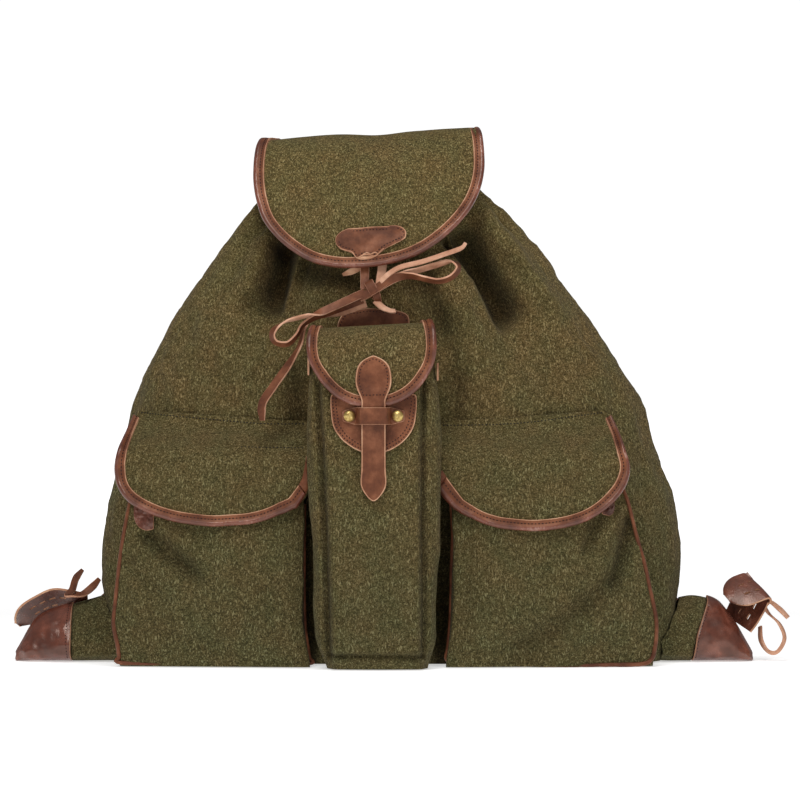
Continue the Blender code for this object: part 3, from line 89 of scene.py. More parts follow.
# %% Helpers for node trees
def add_node(tree, kind, inputs=None, **settings):
    """A node of this kind, with its properties set and its unlinked inputs given values."""
    node = tree.nodes.new(kind)
    for name, value in settings.items():
        setattr(node, name, value)
    for name, value in (inputs or {}).items():
        node.inputs[name].default_value = value
    return node


def join(tree, source, source_name, target, target_name):
    """Links an output to an input, both by name or number."""
    tree.links.new(source.outputs[source_name], target.inputs[target_name])


def patterned(tree, place, kind, inputs=None):
    """A node that reads where it is on the object, such as a noise."""
    node = add_node(tree, kind, inputs)
    join(tree, place, "Object", node, "Vector")
    return node


def new_material(name, colour, roughness, **sockets):
    """A Principled material. Values that are the same all over are set on the shader's own sockets."""
    material = bpy.data.materials.new(name)
    material.use_nodes = True
    material.diffuse_color = (*colour, 1.0)
    shader = material.node_tree.nodes["Principled BSDF"]
    shader.inputs["Base Color"].default_value = (*colour, 1.0)
    shader.inputs["Roughness"].default_value = roughness
    for socket, value in sockets.items():
        shader.inputs[socket.replace("_", " ").title().replace("Ior", "IOR")].default_value = value
    return material, material.node_tree, shader


def ramp(tree, source, output, stops):
    """A colour ramp from (place, colour) stops, read from another node's output."""
    node = tree.nodes.new("ShaderNodeValToRGB")
    points = node.color_ramp.elements
    while len(points) < len(stops):
        points.new(0.5)
    for point, (place, colour) in zip(points, stops):
        point.position = place
        point.color = (*colour, 1.0)
    join(tree, source, output, node, "Fac")
    return node


def linear(red, green, blue):
    """The linear colour of a screen colour given from 0 to 255, by the sRGB rule."""
    shares = [part / 255 for part in (red, green, blue)]
    return tuple(((s + 0.055) / 1.055) ** 2.4 if s > 0.04 else s / 12.92 for s in shares)


def mixed(tree, share_node, share_output, first, second, blend="MIX"):
    """A colour mix: first and second are colours or (node, output) pairs."""
    node = add_node(tree, "ShaderNodeMix", data_type="RGBA", blend_type=blend)
    if share_node is None:
        node.inputs["Factor"].default_value = share_output
    else:
        join(tree, share_node, share_output, node, "Factor")
    for slot, colour in ((6, first), (7, second)):
        if isinstance(colour[0], float):
            node.inputs[slot].default_value = (*colour, 1.0)
        else:
            tree.links.new(colour[0].outputs[colour[1]], node.inputs[slot])
    return node


# %% [markdown]
# Loden is felted wool in a heather mix: olive, moss and brown fibres with single pale ones, so that it looks
# speckled from near and even from afar. Small cells with a random tone each make the specks, and a rough
# noise clumps them. A stretched noise lays single pale hairs on top, and a slow one drifts from greener to
# browner. Low down the cloth is darkened with painted shade, where the light falls off, and high up it is
# lighter and browner. In deep folds and in the gaps beside the middle pocket, a point attribute darkens it
# with painted shade.

# %% The loden cloth
def make_loden(name):
    """Heathered felt, with its colours as screen values."""
    material, tree, shader = new_material(name, linear(90, 78, 44), 0.95, specular_ior_level=0.1,
                                          sheen_weight=0.02, sheen_roughness=0.6)
    place = add_node(tree, "ShaderNodeTexCoord")
    cells = patterned(tree, place, "ShaderNodeTexVoronoi", {"Scale": 1250.0})
    tone = add_node(tree, "ShaderNodeSeparateColor")
    join(tree, cells, "Color", tone, "Color")
    clumps = patterned(tree, place, "ShaderNodeTexNoise", {"Scale": 520.0, "Detail": 4.0, "Roughness": 0.75})
    lowered = add_node(tree, "ShaderNodeMath", {1: 0.9, 2: -0.16}, operation="MULTIPLY_ADD")
    join(tree, clumps, "Fac", lowered, 0)
    both = add_node(tree, "ShaderNodeMath", {1: 0.44}, operation="MULTIPLY_ADD")
    join(tree, tone, "Red", both, 0)
    join(tree, lowered, "Value", both, 2)
    heather = ramp(tree, both, "Value", (
        (0.18, linear(50, 44, 26)), (0.40, linear(74, 65, 39)), (0.56, linear(94, 82, 51)),
        (0.72, linear(119, 106, 71)), (0.92, linear(152, 139, 101)),
    ))
    stretch = patterned(tree, place, "ShaderNodeMapping",
                        {"Scale": (1.0, 1.0, 0.32), "Rotation": (0.0, 0.5, 0.0)})
    hairs = add_node(tree, "ShaderNodeTexNoise", {"Scale": 900.0, "Detail": 1.0, "Roughness": 0.5})
    join(tree, stretch, "Vector", hairs, "Vector")
    pale = ramp(tree, hairs, "Fac", ((0.60, (0.0, 0.0, 0.0)), (0.70, (0.75, 0.75, 0.75))))
    with_hairs = mixed(tree, pale, "Color", (heather, "Color"), linear(160, 148, 108))
    drift = patterned(tree, place, "ShaderNodeTexNoise", {"Scale": 34.0, "Detail": 4.0, "Roughness": 0.6})
    shade = ramp(tree, drift, "Fac", ((0.36, (0.86, 0.94, 0.86)), (0.64, (1.0, 0.94, 0.86))))
    drifted = mixed(tree, None, 1.0, (with_hairs, 2), (shade, "Color"), "MULTIPLY")
    # Painted shade: the cloth is darker low down, where the light falls off. It is also lighter and browner
    # high up.
    height = patterned(tree, place, "ShaderNodeSeparateXYZ")
    raised = add_node(tree, "ShaderNodeMapRange", {"From Min": 0.05, "From Max": 0.42})
    join(tree, height, "Z", raised, "Value")
    height_shade_and_tint = ramp(tree, raised, "Result", (
        (0.0, (0.76, 0.80, 0.84)), (0.6, (0.95, 0.88, 0.87)), (1.0, (1.0, 0.94, 0.9)),
    ))
    height_shaded = mixed(tree, None, 1.0, (drifted, 2), (height_shade_and_tint, "Color"), "MULTIPLY")
    # Painted shade: a point attribute darkens the cloth in deep folds and in the gaps beside the middle
    # pocket.
    hollow = add_node(tree, "ShaderNodeAttribute", attribute_name="hollow")
    dark = ramp(tree, hollow, "Fac", ((0.0, (1.0, 1.0, 1.0)), (1.0, (0.22, 0.19, 0.16))))
    finished = mixed(tree, None, 1.0, (height_shaded, 2), (dark, "Color"), "MULTIPLY")
    tree.links.new(finished.outputs[2], shader.inputs["Base Color"])
    nap = patterned(tree, place, "ShaderNodeTexNoise", {"Scale": 1100.0, "Detail": 2.0, "Roughness": 0.6})
    bump = add_node(tree, "ShaderNodeBump", {"Strength": 0.6, "Distance": 0.0007})
    join(tree, nap, "Fac", bump, "Height")
    join(tree, bump, "Normal", shader, "Normal")
    return material


LODEN_CLOTH = make_loden("loden_cloth")
print("cloth:", LODEN_CLOTH.name)

# %% [markdown]
# The trim is oiled cowhide. Its grain side is red-brown with a low sheen, fine pores and slow darker clouds
# where hands have rubbed it. Where it is cut, the pale core shows as a tan line round every strap and patch.
# Laces are cut from the same hide, so that they have a brown side and a suede-like flesh side. The caps, the
# tabs and the outside of the bindings are rubbed to a polish, and where their clouds are highest a pale
# painted highlight lies on them. All of it is one recipe with other tones, so one function makes each leather
# from a row of values.

# %% The leathers
def make_leather(name, dark, middle, light, roughness, pore_scale, pore_depth, gloss, painted_highlight=None):
    """Leather with clouds of colour, a pale painted highlight in its highest clouds where one is given, and a
    pored, wrinkled surface.
    """
    material, tree, shader = new_material(name, linear(*middle), roughness, specular_ior_level=gloss,
                                          specular_tint=(1.0, 0.84, 0.74, 1.0))
    place = add_node(tree, "ShaderNodeTexCoord")
    clouds = patterned(tree, place, "ShaderNodeTexNoise", {"Scale": 55.0, "Detail": 5.0, "Roughness": 0.62})
    # The last stop is a painted highlight, where one is given.
    tones = ramp(tree, clouds, "Fac", (
        (0.32, linear(*dark)), (0.5, linear(*middle)),
        (0.63, linear(*light)), (0.76, linear(*(painted_highlight or light))),
    ))
    join(tree, tones, "Color", shader, "Base Color")
    shine = ramp(tree, clouds, "Fac", ((0.3, (roughness + 0.14,) * 3), (0.7, (roughness - 0.08,) * 3)))
    join(tree, shine, "Color", shader, "Roughness")
    pores = patterned(tree, place, "ShaderNodeTexVoronoi", {"Scale": pore_scale})
    creases = patterned(tree, place, "ShaderNodeTexNoise", {"Scale": 180.0, "Detail": 4.0, "Roughness": 0.7})
    height = add_node(tree, "ShaderNodeMath", {1: 0.6}, operation="MULTIPLY_ADD")
    join(tree, pores, "Distance", height, 0)
    join(tree, creases, "Fac", height, 2)
    bump = add_node(tree, "ShaderNodeBump", {"Strength": 0.5, "Distance": pore_depth})
    join(tree, height, "Value", bump, "Height")
    join(tree, bump, "Normal", shader, "Normal")
    return material


LEATHERS = {
    "leather_grain": dict(
        dark=(80, 43, 28), middle=(108, 62, 40), light=(133, 82, 56),
        roughness=0.46, pore_scale=1300.0, pore_depth=0.0004, gloss=0.32),
    # The polished leather's palest tone is a painted highlight.
    "leather_polished": dict(
        dark=(74, 36, 26), middle=(100, 53, 39), light=(126, 73, 57), painted_highlight=(182, 146, 132),
        roughness=0.27, pore_scale=1100.0, pore_depth=0.0003, gloss=0.8),
    "leather_raw_edge": dict(
        dark=(150, 104, 80), middle=(186, 138, 108), light=(206, 162, 130),
        roughness=0.8, pore_scale=900.0, pore_depth=0.0003, gloss=0.2),
    "lace_flesh": dict(
        dark=(168, 118, 92), middle=(200, 150, 122), light=(218, 172, 144),
        roughness=0.85, pore_scale=800.0, pore_depth=0.0003, gloss=0.15),
}
GRAIN, POLISHED, RAW_EDGE, FLESH = (make_leather(name, **look) for name, look in LEATHERS.items())
print("leathers:", GRAIN.name, POLISHED.name, RAW_EDGE.name, FLESH.name)

# %% [markdown]
# Waxed thread sews the leather, and an olive one sews the cloth. The thread's tone changes quickly along
# it, as that of twisted plies does. The rivet caps are brass, dulled a little by handling, so that their
# roughness drifts from place to place.

# %% Thread and brass
def make_thread(name, dark, light):
    """Twisted thread in two tones."""
    material, tree, shader = new_material(name, linear(*light), 0.7, specular_ior_level=0.3)
    place = add_node(tree, "ShaderNodeTexCoord")
    ply = patterned(tree, place, "ShaderNodeTexNoise", {"Scale": 2400.0, "Detail": 1.0})
    tones = ramp(tree, ply, "Fac", ((0.35, linear(*dark)), (0.65, linear(*light))))
    join(tree, tones, "Color", shader, "Base Color")
    return material


THREAD_BROWN = make_thread("thread_brown", (30, 14, 12), (62, 30, 24))
THREAD_OLIVE = make_thread("thread_olive", (16, 14, 8), (34, 30, 18))


def make_brass():
    """Handled brass: its tone and its gloss drift together."""
    material, tree, shader = new_material("brass", linear(198, 168, 92), 0.3, metallic=1.0)
    place = add_node(tree, "ShaderNodeTexCoord")
    wear = patterned(tree, place, "ShaderNodeTexNoise", {"Scale": 420.0, "Detail": 4.0})
    tones = ramp(tree, wear, "Fac", ((0.35, linear(168, 138, 80)), (0.6, linear(216, 190, 122))))
    join(tree, tones, "Color", shader, "Base Color")
    dull = ramp(tree, wear, "Fac", ((0.35, (0.52,) * 3), (0.65, (0.38,) * 3)))
    join(tree, dull, "Color", shader, "Roughness")
    return material


BRASS = make_brass()
print("thread and brass:", THREAD_BROWN.name, THREAD_OLIVE.name, BRASS.name)

# %% [markdown]
# A piece can start from the frame's own facets. Their triangles are welded into one shell, paired into quads
# and subdivided. Plain subdivision shrinks a curved shape, so the cage is pushed out until the smooth surface
# passes through the frame's own corners again. Sharp edges are creased, so that cut leather keeps its edge.

# %% Shells from the frame
QUAD_BEND, QUAD_SKEW = math.radians(35), math.radians(60)
PUSH_SHARE = 0.85


def welded(node):
    """The frame's node as a bmesh with its loose triangles joined at their corners."""
    shell = bmesh.new()
    shell.from_mesh(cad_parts[node].data)
    bmesh.ops.remove_doubles(shell, verts=shell.verts, dist=1e-5)
    bmesh.ops.dissolve_degenerate(shell, edges=shell.edges, dist=1e-6)
    shell.faces.ensure_lookup_table()
    return shell


def sides_of(shell, angle):
    """The shell's faces in groups, parted at its edges sharper than the angle."""
    limit = math.radians(angle)
    waiting = set(shell.faces)
    groups = []
    while waiting:
        group, queue = [], [waiting.pop()]
        while queue:
            face = queue.pop()
            group.append(face)
            for edge in face.edges:
                if len(edge.link_faces) == 2 and edge.calc_face_angle(0) < limit:
                    for other in edge.link_faces:
                        if other in waiting:
                            waiting.discard(other)
                            queue.append(other)
        groups.append(group)
    return groups


def mean_width(group):
    """How wide a group of faces is, if it is a long strip: its area over half its outline."""
    inside = set(group)
    outline = sum(e.calc_length() for f in group for e in f.edges
                  if sum(other in inside for other in e.link_faces) == 1)
    return 2 * sum(f.calc_area() for f in group) / max(outline, 1e-9)


def corner_places(mesh):
    """The places of a mesh's corners as one flat array."""
    places = np.empty(len(mesh.vertices) * 3)
    mesh.vertices.foreach_get("co", places)
    return places


def plain_mesh(obj):
    """What an object's modifiers make, as a mesh of its own."""
    bpy.context.view_layer.update()
    graph = bpy.context.evaluated_depsgraph_get()
    return bpy.data.meshes.new_from_object(obj.evaluated_get(graph))


def finer(name, shell, levels, angle=45.0, crease=1.0, rounds=2):
    """A smooth piece through the shell's corners. The shell is used up."""
    sharp = shell.edges.layers.float.get("crease_edge") or shell.edges.layers.float.new("crease_edge")
    for edge in shell.edges:
        if len(edge.link_faces) == 2 and edge.calc_face_angle(0) > math.radians(angle):
            edge[sharp] = crease
    bmesh.ops.join_triangles(shell, faces=shell.faces, angle_face_threshold=QUAD_BEND,
                             angle_shape_threshold=QUAD_SKEW, cmp_materials=True)
    cage = bpy.data.meshes.new(name)
    shell.to_mesh(cage)
    shell.free()
    obj = bpy.data.objects.new(name, cage)
    DRESSED.objects.link(obj)
    smooth = obj.modifiers.new("finer", "SUBSURF")
    smooth.levels = smooth.render_levels = levels
    wanted = corner_places(cage)
    for _ in range(rounds):
        reached = corner_places(plain_mesh(obj))[:len(wanted)]
        cage.vertices.foreach_set("co", corner_places(cage) + PUSH_SHARE * (wanted - reached))
        cage.update()
    result = plain_mesh(obj)
    obj.modifiers.clear()
    obj.data = result
    result.name = name
    return obj


print("ready to smooth", len(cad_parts), "plain solids")

# %% [markdown]
# Every finished piece is shaded smooth, rides on the rucksack and
# stands for the plain solid it replaces. One helper does all of that, so that no piece misses a step.

# %% Finishing a piece
made = {}


def finish_piece(obj, materials, slot, *nodes, sharp=40.0):
    """Shades and parents a finished piece, and hides the solids that it stands for."""
    mesh = obj.data
    if materials:
        numbers = np.empty(len(mesh.polygons), np.int32)
        mesh.polygons.foreach_get("material_index", numbers)
        mesh.materials.clear()
        for material in materials:
            mesh.materials.append(material)
        mesh.polygons.foreach_set("material_index", numbers)
    mesh.shade_smooth()
    mesh.set_sharp_from_angle(angle=math.radians(sharp))
    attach(obj, BODY)
    if nodes:
        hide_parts(*nodes)
    made[obj.name] = len(mesh.polygons)
    return obj


def mesh_object(name, points, faces, face_materials=None):
    """An object from points and faces, with a material number for each face where given."""
    mesh = bpy.data.meshes.new(name)
    mesh.from_pydata([tuple(p) for p in points], [], faces)
    if face_materials is not None:
        mesh.polygons.foreach_set("material_index", np.asarray(face_materials, np.int32))
    mesh.update()
    obj = bpy.data.objects.new(name, mesh)
    DRESSED.objects.link(obj)
    return obj


def surface_tree(*objects):
    """A tree of the given objects' finished surfaces, to find places on them."""
    points, faces = [], []
    for obj in objects:
        start = len(points)
        points += [v.co.copy() for v in obj.data.vertices]
        faces += [[start + i for i in p.vertices] for p in obj.data.polygons]
    return BVHTree.FromPolygons(points, faces)


def turn_outwards(mesh):
    """Makes a closed mesh's faces point out."""
    shell = bmesh.new()
    shell.from_mesh(mesh)
    bmesh.ops.recalc_face_normals(shell, faces=shell.faces)
    shell.to_mesh(mesh)
    shell.free()


print("ready to finish pieces")

# %% [markdown]
# The laces are strips cut from the hide: brown grain on one side, tan and suede-like on the other. Each one
# follows a short table of points, with the direction that its grain side turns to. The same points placed the
# plain laces of the frame, so that the fine ones lie where those were. Each row below holds x, y and z of a
# point on the lace's middle line, and then the x, y and z of the way that the grain side faces there.

# %% The routes of the laces
BOW_LOOP_LEFT = (
    (-0.0300, -0.1040, 0.3210, 0.1, -1.0, 0.2), (-0.0450, -0.1075, 0.3140, 0.1, -1.0, 0.3),
    (-0.0580, -0.1105, 0.3080, 0.0, -1.0, 0.4), (-0.0700, -0.1125, 0.3030, 0.0, -0.9, 0.6),
    (-0.0850, -0.1130, 0.2995, -0.1, 0.3, 1.0), (-0.0990, -0.1120, 0.2950, -0.5, 0.3, 0.9),
    (-0.1085, -0.1110, 0.2870, -1.0, -0.1, 0.3), (-0.1065, -0.1100, 0.2785, -0.6, -0.5, -0.8),
    (-0.0960, -0.1090, 0.2770, 0.1, -0.6, -1.0), (-0.0880, -0.1080, 0.2845, 0.7, -0.4, -0.8),
    (-0.0830, -0.1065, 0.2930, 0.7, -0.4, -0.7), (-0.0730, -0.1045, 0.2995, 0.4, -0.6, -0.8),
    (-0.0620, -0.1020, 0.3035, 0.3, -0.8, -0.6), (-0.0490, -0.1000, 0.3085, 0.2, -1.0, -0.3),
    (-0.0320, -0.0990, 0.3150, 0.1, -1.0, -0.2),
)
BOW_LOOP_RIGHT = (
    (-0.0190, -0.1050, 0.3250, 0.3, -1.0, 0.3), (-0.0035, -0.1083, 0.3335, 0.2, -0.9, 0.2),
    (0.0090, -0.1100, 0.3350, -0.1, -0.7, -0.7), (0.0210, -0.1105, 0.3325, -0.1, -0.6, -1.0),
    (0.0330, -0.1105, 0.3305, 0.0, -0.6, -1.0), (0.0440, -0.1095, 0.3340, 0.6, -0.6, -0.7),
    (0.0500, -0.1080, 0.3420, 1.0, -0.5, 0.1), (0.0440, -0.1060, 0.3475, 0.1, 0.5, 1.0),
    (0.0300, -0.1045, 0.3440, -0.2, 0.6, 0.9), (0.0160, -0.1030, 0.3400, -0.2, 0.5, 0.9),
    (0.0030, -0.1010, 0.3370, -0.2, 0.4, 0.8), (-0.0140, -0.0995, 0.3290, -0.2, 0.4, 0.6),
)
BOW_TAIL_LEFT = (
    (-0.0290, -0.0965, 0.3120, 0.0, 1.0, -0.3), (-0.0480, -0.0953, 0.3056, -0.1, 1.0, 0.0),
    (-0.0640, -0.0958, 0.3021, -0.3, 0.6, 0.6), (-0.0760, -0.0955, 0.2975, -0.6, 0.1, 0.8),
    (-0.0825, -0.0985, 0.2880, -0.9, -0.4, 0.3), (-0.0855, -0.1030, 0.2760, -0.9, -0.6, 0.1),
    (-0.0945, -0.1100, 0.2600, -0.6, -0.9, 0.1), (-0.1081, -0.1150, 0.2404, -0.6, -0.9, 0.0),
    (-0.1172, -0.1165, 0.2259, -0.5, -0.9, 0.0), (-0.1172, -0.1175, 0.2115, -0.4, -0.9, 0.0),
)
BOW_TAIL_RIGHT = (
    (-0.0170, -0.1065, 0.3300, 0.3, 0.8, 0.3), (-0.0090, -0.1085, 0.3370, 0.3, 0.8, -0.3),
    (0.0010, -0.1120, 0.3425, 0.3, 0.8, -0.5), (0.0190, -0.1130, 0.3470, 0.2, 0.7, -0.7),
    (0.0370, -0.1125, 0.3530, 0.3, 0.7, -0.7), (0.0520, -0.1115, 0.3585, 0.3, 0.7, -0.7),
    (0.0560, -0.1110, 0.3630, 0.8, 0.5, -0.3),
)
BOW_SHORT_END = (
    (-0.0214, -0.1030, 0.3140, 0.1, 0.8, -0.5), (-0.0155, -0.1030, 0.3085, 0.1, 0.8, -0.5),
    (-0.0090, -0.1020, 0.3055, 0.1, 0.7, -0.7), (-0.0040, -0.1005, 0.3050, 0.1, 0.7, -0.7),
)
CORNER_LACE_LEFT = (
    (-0.2790, -0.0020, 0.0800, -0.3, -1.0, 0.0), (-0.2850, -0.0030, 0.0720, -0.4, -1.0, 0.0),
    (-0.2880, -0.0045, 0.0625, -0.3, -1.0, 0.3), (-0.2920, -0.0060, 0.0570, 0.3, -0.6, 0.8),
    (-0.2860, -0.0120, 0.0575, 0.3, -0.3, 0.9), (-0.2780, -0.0120, 0.0590, 0.3, -0.6, 0.8),
    (-0.2700, -0.0100, 0.0650, 0.2, -1.0, 0.3), (-0.2640, -0.0070, 0.0720, 0.6, -0.8, 0.3),
)
CORNER_LACE_RIGHT = (
    (0.3405, -0.0120, 0.0380, -0.5, 0.5, -0.7), (0.3325, -0.0105, 0.0462, -0.5, 0.5, -0.7),
    (0.3241, -0.0087, 0.0523, -0.6, 0.3, -0.7), (0.3208, -0.0055, 0.0480, -0.9, 0.2, -0.1),
    (0.3245, -0.0040, 0.0410, -0.9, 0.3, -0.3), (0.3330, -0.0090, 0.0325, -0.9, 0.4, -0.3),
    (0.3372, -0.0130, 0.0200, -1.0, 0.4, 0.0), (0.3310, -0.0140, 0.0085, -0.4, 0.4, 0.9),
    (0.3230, -0.0120, 0.0085, 0.6, 0.4, 0.8), (0.3170, -0.0080, 0.0180, 1.0, 0.4, 0.0),
    (0.3165, -0.0040, 0.0300, 1.0, 0.4, 0.0),
)
RISER_LEFT = ((-0.0303, -0.1000, 0.3240, 0, -1, 0), (-0.0302, -0.0925, 0.3440, 0, -1, 0.2),
              (-0.0302, -0.0850, 0.3620, 0, -1, 0.2), (-0.0305, -0.0740, 0.3840, 0, -1, 0.4),
              (-0.0305, -0.0700, 0.4060, 0, -1, 0.2), (-0.0305, -0.0580, 0.4270, 0, -1, 0.2))
RISER_RIGHT = ((-0.0175, -0.1000, 0.3275, 0, 1, 0), (-0.0150, -0.0925, 0.3450, 0, 1, -0.2),
               (-0.0145, -0.0850, 0.3620, 0, 1, -0.2), (-0.0140, -0.0740, 0.3840, 0, 1, -0.4),
               (-0.0140, -0.0700, 0.4060, 0, 1, -0.2), (-0.0140, -0.0580, 0.4270, 0, 1, -0.2))
DRAWSTRING_END = ((-0.0490, -0.0860, 0.3368, 0, 1, 0.3), (-0.0440, -0.0890, 0.3385, 0, 1, 0.3),
                  (-0.0390, -0.0905, 0.3405, 0, 1, 0.3), (-0.0340, -0.0905, 0.3430, 0, 1, 0.3))

# %% [markdown]
# A hand-cut lace is never quite even, so its width drifts a little along its length. Its profile is a flat
# bar with rounded edges. Each of its points gives a share of the width and of the thickness. The two sides
# of the profile that look up are the grain side, and the rest is raw.

# %% A lace along its route
LACE_WIDTH, LACE_THICK = 0.0075, 0.0018
LACE_STEP, LACE_TIP, LACE_DRIFT = 0.0013, 0.008, 0.07
LACE_PROFILE = ((-0.5, 0.25), (-0.46, 0.5), (0.0, 0.53), (0.46, 0.5), (0.5, 0.25), (0.5, -0.3), (0.44, -0.5),
                (0.0, -0.48), (-0.44, -0.5), (-0.5, -0.3))
GRAIN_SIDES = (1, 2)
ROUGH_COUNT = 60
CURVE_PARTS = 16


def through(points, count):
    """Points spaced evenly along a smooth curve through the given ones."""
    points = [Vector(p) for p in points]
    padded = [points[0] * 2 - points[1], *points, points[-1] * 2 - points[-2]]
    dense = []
    for a, b, c, d in zip(padded, padded[1:], padded[2:], padded[3:]):
        for k in range(CURVE_PARTS):
            t = k / CURVE_PARTS
            dense.append(0.5 * (2 * b + (c - a) * t + (2 * a - 5 * b + 4 * c - d) * t ** 2
                                + (3 * b - 3 * c + d - a) * t ** 3))
    dense.append(points[-1])
    along = np.concatenate([[0], np.cumsum([(q - p).length for p, q in zip(dense, dense[1:])])])
    at = np.linspace(0, along[-1], count)
    axes = [np.interp(at, along, [p[k] for p in dense]) for k in range(3)]
    return [Vector(p) for p in zip(*axes)]


def length_of(points):
    """The length of a line of points."""
    return sum((b - a).length for a, b in zip(points, points[1:]))


def heading(points, k, closed=False):
    """The direction in which a line of points runs at its point k."""
    if closed:
        return (points[(k + 1) % len(points)] - points[k - 1]).normalized()
    return (points[min(k + 1, len(points) - 1)] - points[max(k - 1, 0)]).normalized()


def route_of(rows, step, fewest=2):
    """Even points along a table's rows, the way that its last columns give at each, and the length."""
    places = [row[:3] for row in rows]
    length = length_of(through(places, ROUGH_COUNT))
    count = max(int(length / step), fewest)
    marks, at = np.linspace(0, 1, len(rows)), np.linspace(0, 1, count)
    ways = zip(*(np.interp(at, marks, [row[k] for row in rows]) for k in (3, 4, 5)))
    return through(places, count), [Vector(way) for way in ways], length


def ring_faces(count, size, closed=False):
    """The faces between neighbouring rings of points, one ring for each place along a line."""
    faces = []
    for k in range(count if closed else count - 1):
        here, ahead = k * size, (k + 1) % count * size
        faces += [(here + p, here + (p + 1) % size, ahead + (p + 1) % size, ahead + p) for p in range(size)]
    return faces


def lace(name, rows, slot, *nodes, width=LACE_WIDTH, thick=LACE_THICK, first=GRAIN, second=FLESH,
         tips=(1.0, 1.0)):
    """A flat lace along a route, and its middle line. tips scales the width at both ends."""
    points, facing, _ = route_of(rows, LACE_STEP, 12)
    count, size = len(points), len(LACE_PROFILE)
    at = np.linspace(0, 1, count)
    ends = LACE_TIP / max(length_of(points), 0.01)
    verts = []
    for k, place in enumerate(points):
        along = heading(points, k)
        out = (facing[k] - along * facing[k].dot(along)).normalized()
        across = along.cross(out)
        drift = 1 + LACE_DRIFT * noise.noise(Vector((k * 0.035, len(rows) * 3.1, 7.0)))
        to_start, to_end = at[k] / ends, (1 - at[k]) / ends
        taper = min(tips[0] + (1 - tips[0]) * to_start, tips[1] + (1 - tips[1]) * to_end, 1.0)
        for a, b in LACE_PROFILE:
            verts.append(place + across * (a * width * drift * taper) + out * (b * thick))
    faces = ring_faces(count, size)
    faces += [tuple(range(size - 1, -1, -1)), tuple((count - 1) * size + p for p in range(size))]
    materials = [0 if p in GRAIN_SIDES else 1 for _ in range(count - 1) for p in range(size)]
    obj = mesh_object(name, verts, faces, materials + [1, 1])
    turn_outwards(obj.data)
    finish_piece(obj, (first, second), slot, *nodes, sharp=50)
    return obj, [tuple(p) for p in points]


print("a lace is", LACE_WIDTH * 1000, "mm wide and", LACE_THICK * 1000, "mm thick")

# %% [markdown]
# The bow: two risers come down from the gathered neck and meet in the knot. From it run two loops, two long
# tails and a short end, and a second cut end of the drawstring lies beside it.

# %% The bow
def free_lace(node, rows, far_end, with_pieces=(), **settings):
    """A lace that hangs free."""
    obj, path = lace(f"dressed_{node}", rows, "lace", node, **settings)
    return obj


lace("dressed_riser_left", RISER_LEFT, "lace", "riser_left")
lace("dressed_riser_right", RISER_RIGHT, "lace", "riser_right")
# Its flesh side takes the darker raw-edge leather as painted shade, for the lid's shadow that lies over it.
lace("dressed_drawstring_end", DRAWSTRING_END, "lace", width=0.0056, second=RAW_EDGE, tips=(0.5, 1.0))
short_end, _ = lace("dressed_bow_short_end", BOW_SHORT_END, "lace", "bow_short_end",
                    width=0.0055, thick=0.0015, tips=(1.0, 0.8))
free_lace("bow_loop_left", BOW_LOOP_LEFT, "object")
free_lace("bow_loop_right", BOW_LOOP_RIGHT, "object")
free_lace("bow_tail_left", BOW_TAIL_LEFT, "bare", tips=(1.0, 0.6))
free_lace("bow_tail_right", BOW_TAIL_RIGHT, "bare", width=0.0046, tips=(1.0, 0.7),
          with_pieces=[short_end])

# %% [markdown]
# The knot is lace wound round itself. A short band wraps the strands across their run, and a second one
# comes out below it and turns back under. Both are laces along an arc, and a thick lace between them fills
# the core.

# %% The knot
KNOT_PLACE = Vector((-0.0240, -0.1010, 0.3225))
STRAND_WAY = Vector((0.874, 0.0, 0.485))
KNOT_POINTS = 13


def knot_band(name, centre, axis, wide, deep, width, start, end):
    """A short band bent round an axis, from one angle to another, as rows for a lace."""
    axis = axis.normalized()
    front = Vector((0, -1, 0))
    side = axis.cross(front).normalized()
    rows = []
    for angle in np.radians(np.linspace(start, end, KNOT_POINTS)):
        out = side * math.cos(angle) + front * math.sin(angle)
        place = centre + side * (wide * math.cos(angle)) + front * (deep * math.sin(angle))
        rows.append((*place, *out))
    return lace(name, rows, "lace", "bow_knot", width=width, thick=0.0019)[0]


knot_band("dressed_knot_wrap", KNOT_PLACE + Vector((0.0005, 0.0005, 0.0012)), STRAND_WAY,
          wide=0.0072, deep=0.0058, width=0.0080, start=-60, end=240)
knot_band("dressed_knot_under", KNOT_PLACE + Vector((0.0040, 0.0010, -0.0040)), Vector((0.97, 0, 0.25)),
          wide=0.0058, deep=0.0046, width=0.0062, start=-70, end=230)
STRANDS = ((-0.0345, -0.1030, 0.3165, 0, -1, 0.2), (-0.0270, -0.1040, 0.3200, 0, -1, 0.2),
           (-0.0190, -0.1045, 0.3250, 0, -1, 0.2), (-0.0120, -0.1050, 0.3300, 0, -1, 0.2))
lace("dressed_knot_core", STRANDS, "lace", "bow_knot", width=0.0070, thick=0.0050)
bow_faces = sum(count for name, count in made.items() if "bow" in name or "knot" in name)
print("the bow has", bow_faces, "faces")

# %% [markdown]
# The sack and its three pockets are tubes of loden, stuffed full. Each skin is laid out again as a fine grid,
# with rows up its height and columns round it, closer in front, where it is seen. Each point is found by
# looking from outside towards the piece's middle until the plain solid is met, and the field of distances is
# then softened, so that no facet is left.

# %% Skins as fine grids
TURNS = 720
OUTSIDE = 0.6
EDGE_MARGIN = 0.0008


def blurred(field, across, up):
    """The field with its columns (which go round) and its rows softened by bell curves."""
    for axis, width in ((1, across), (0, up)):
        reach = int(3 * width) + 1
        bell = np.exp(-0.5 * (np.arange(-reach, reach + 1) / width) ** 2)
        bell /= bell.sum()
        pad = [(0, 0), (0, 0)]
        pad[axis] = (reach, reach)
        padded = np.pad(field, pad, mode="wrap" if axis == 1 else "edge")
        size = field.shape[axis]
        field = sum(share * np.take(padded, range(k, k + size), axis=axis) for k, share in enumerate(bell))
    return field


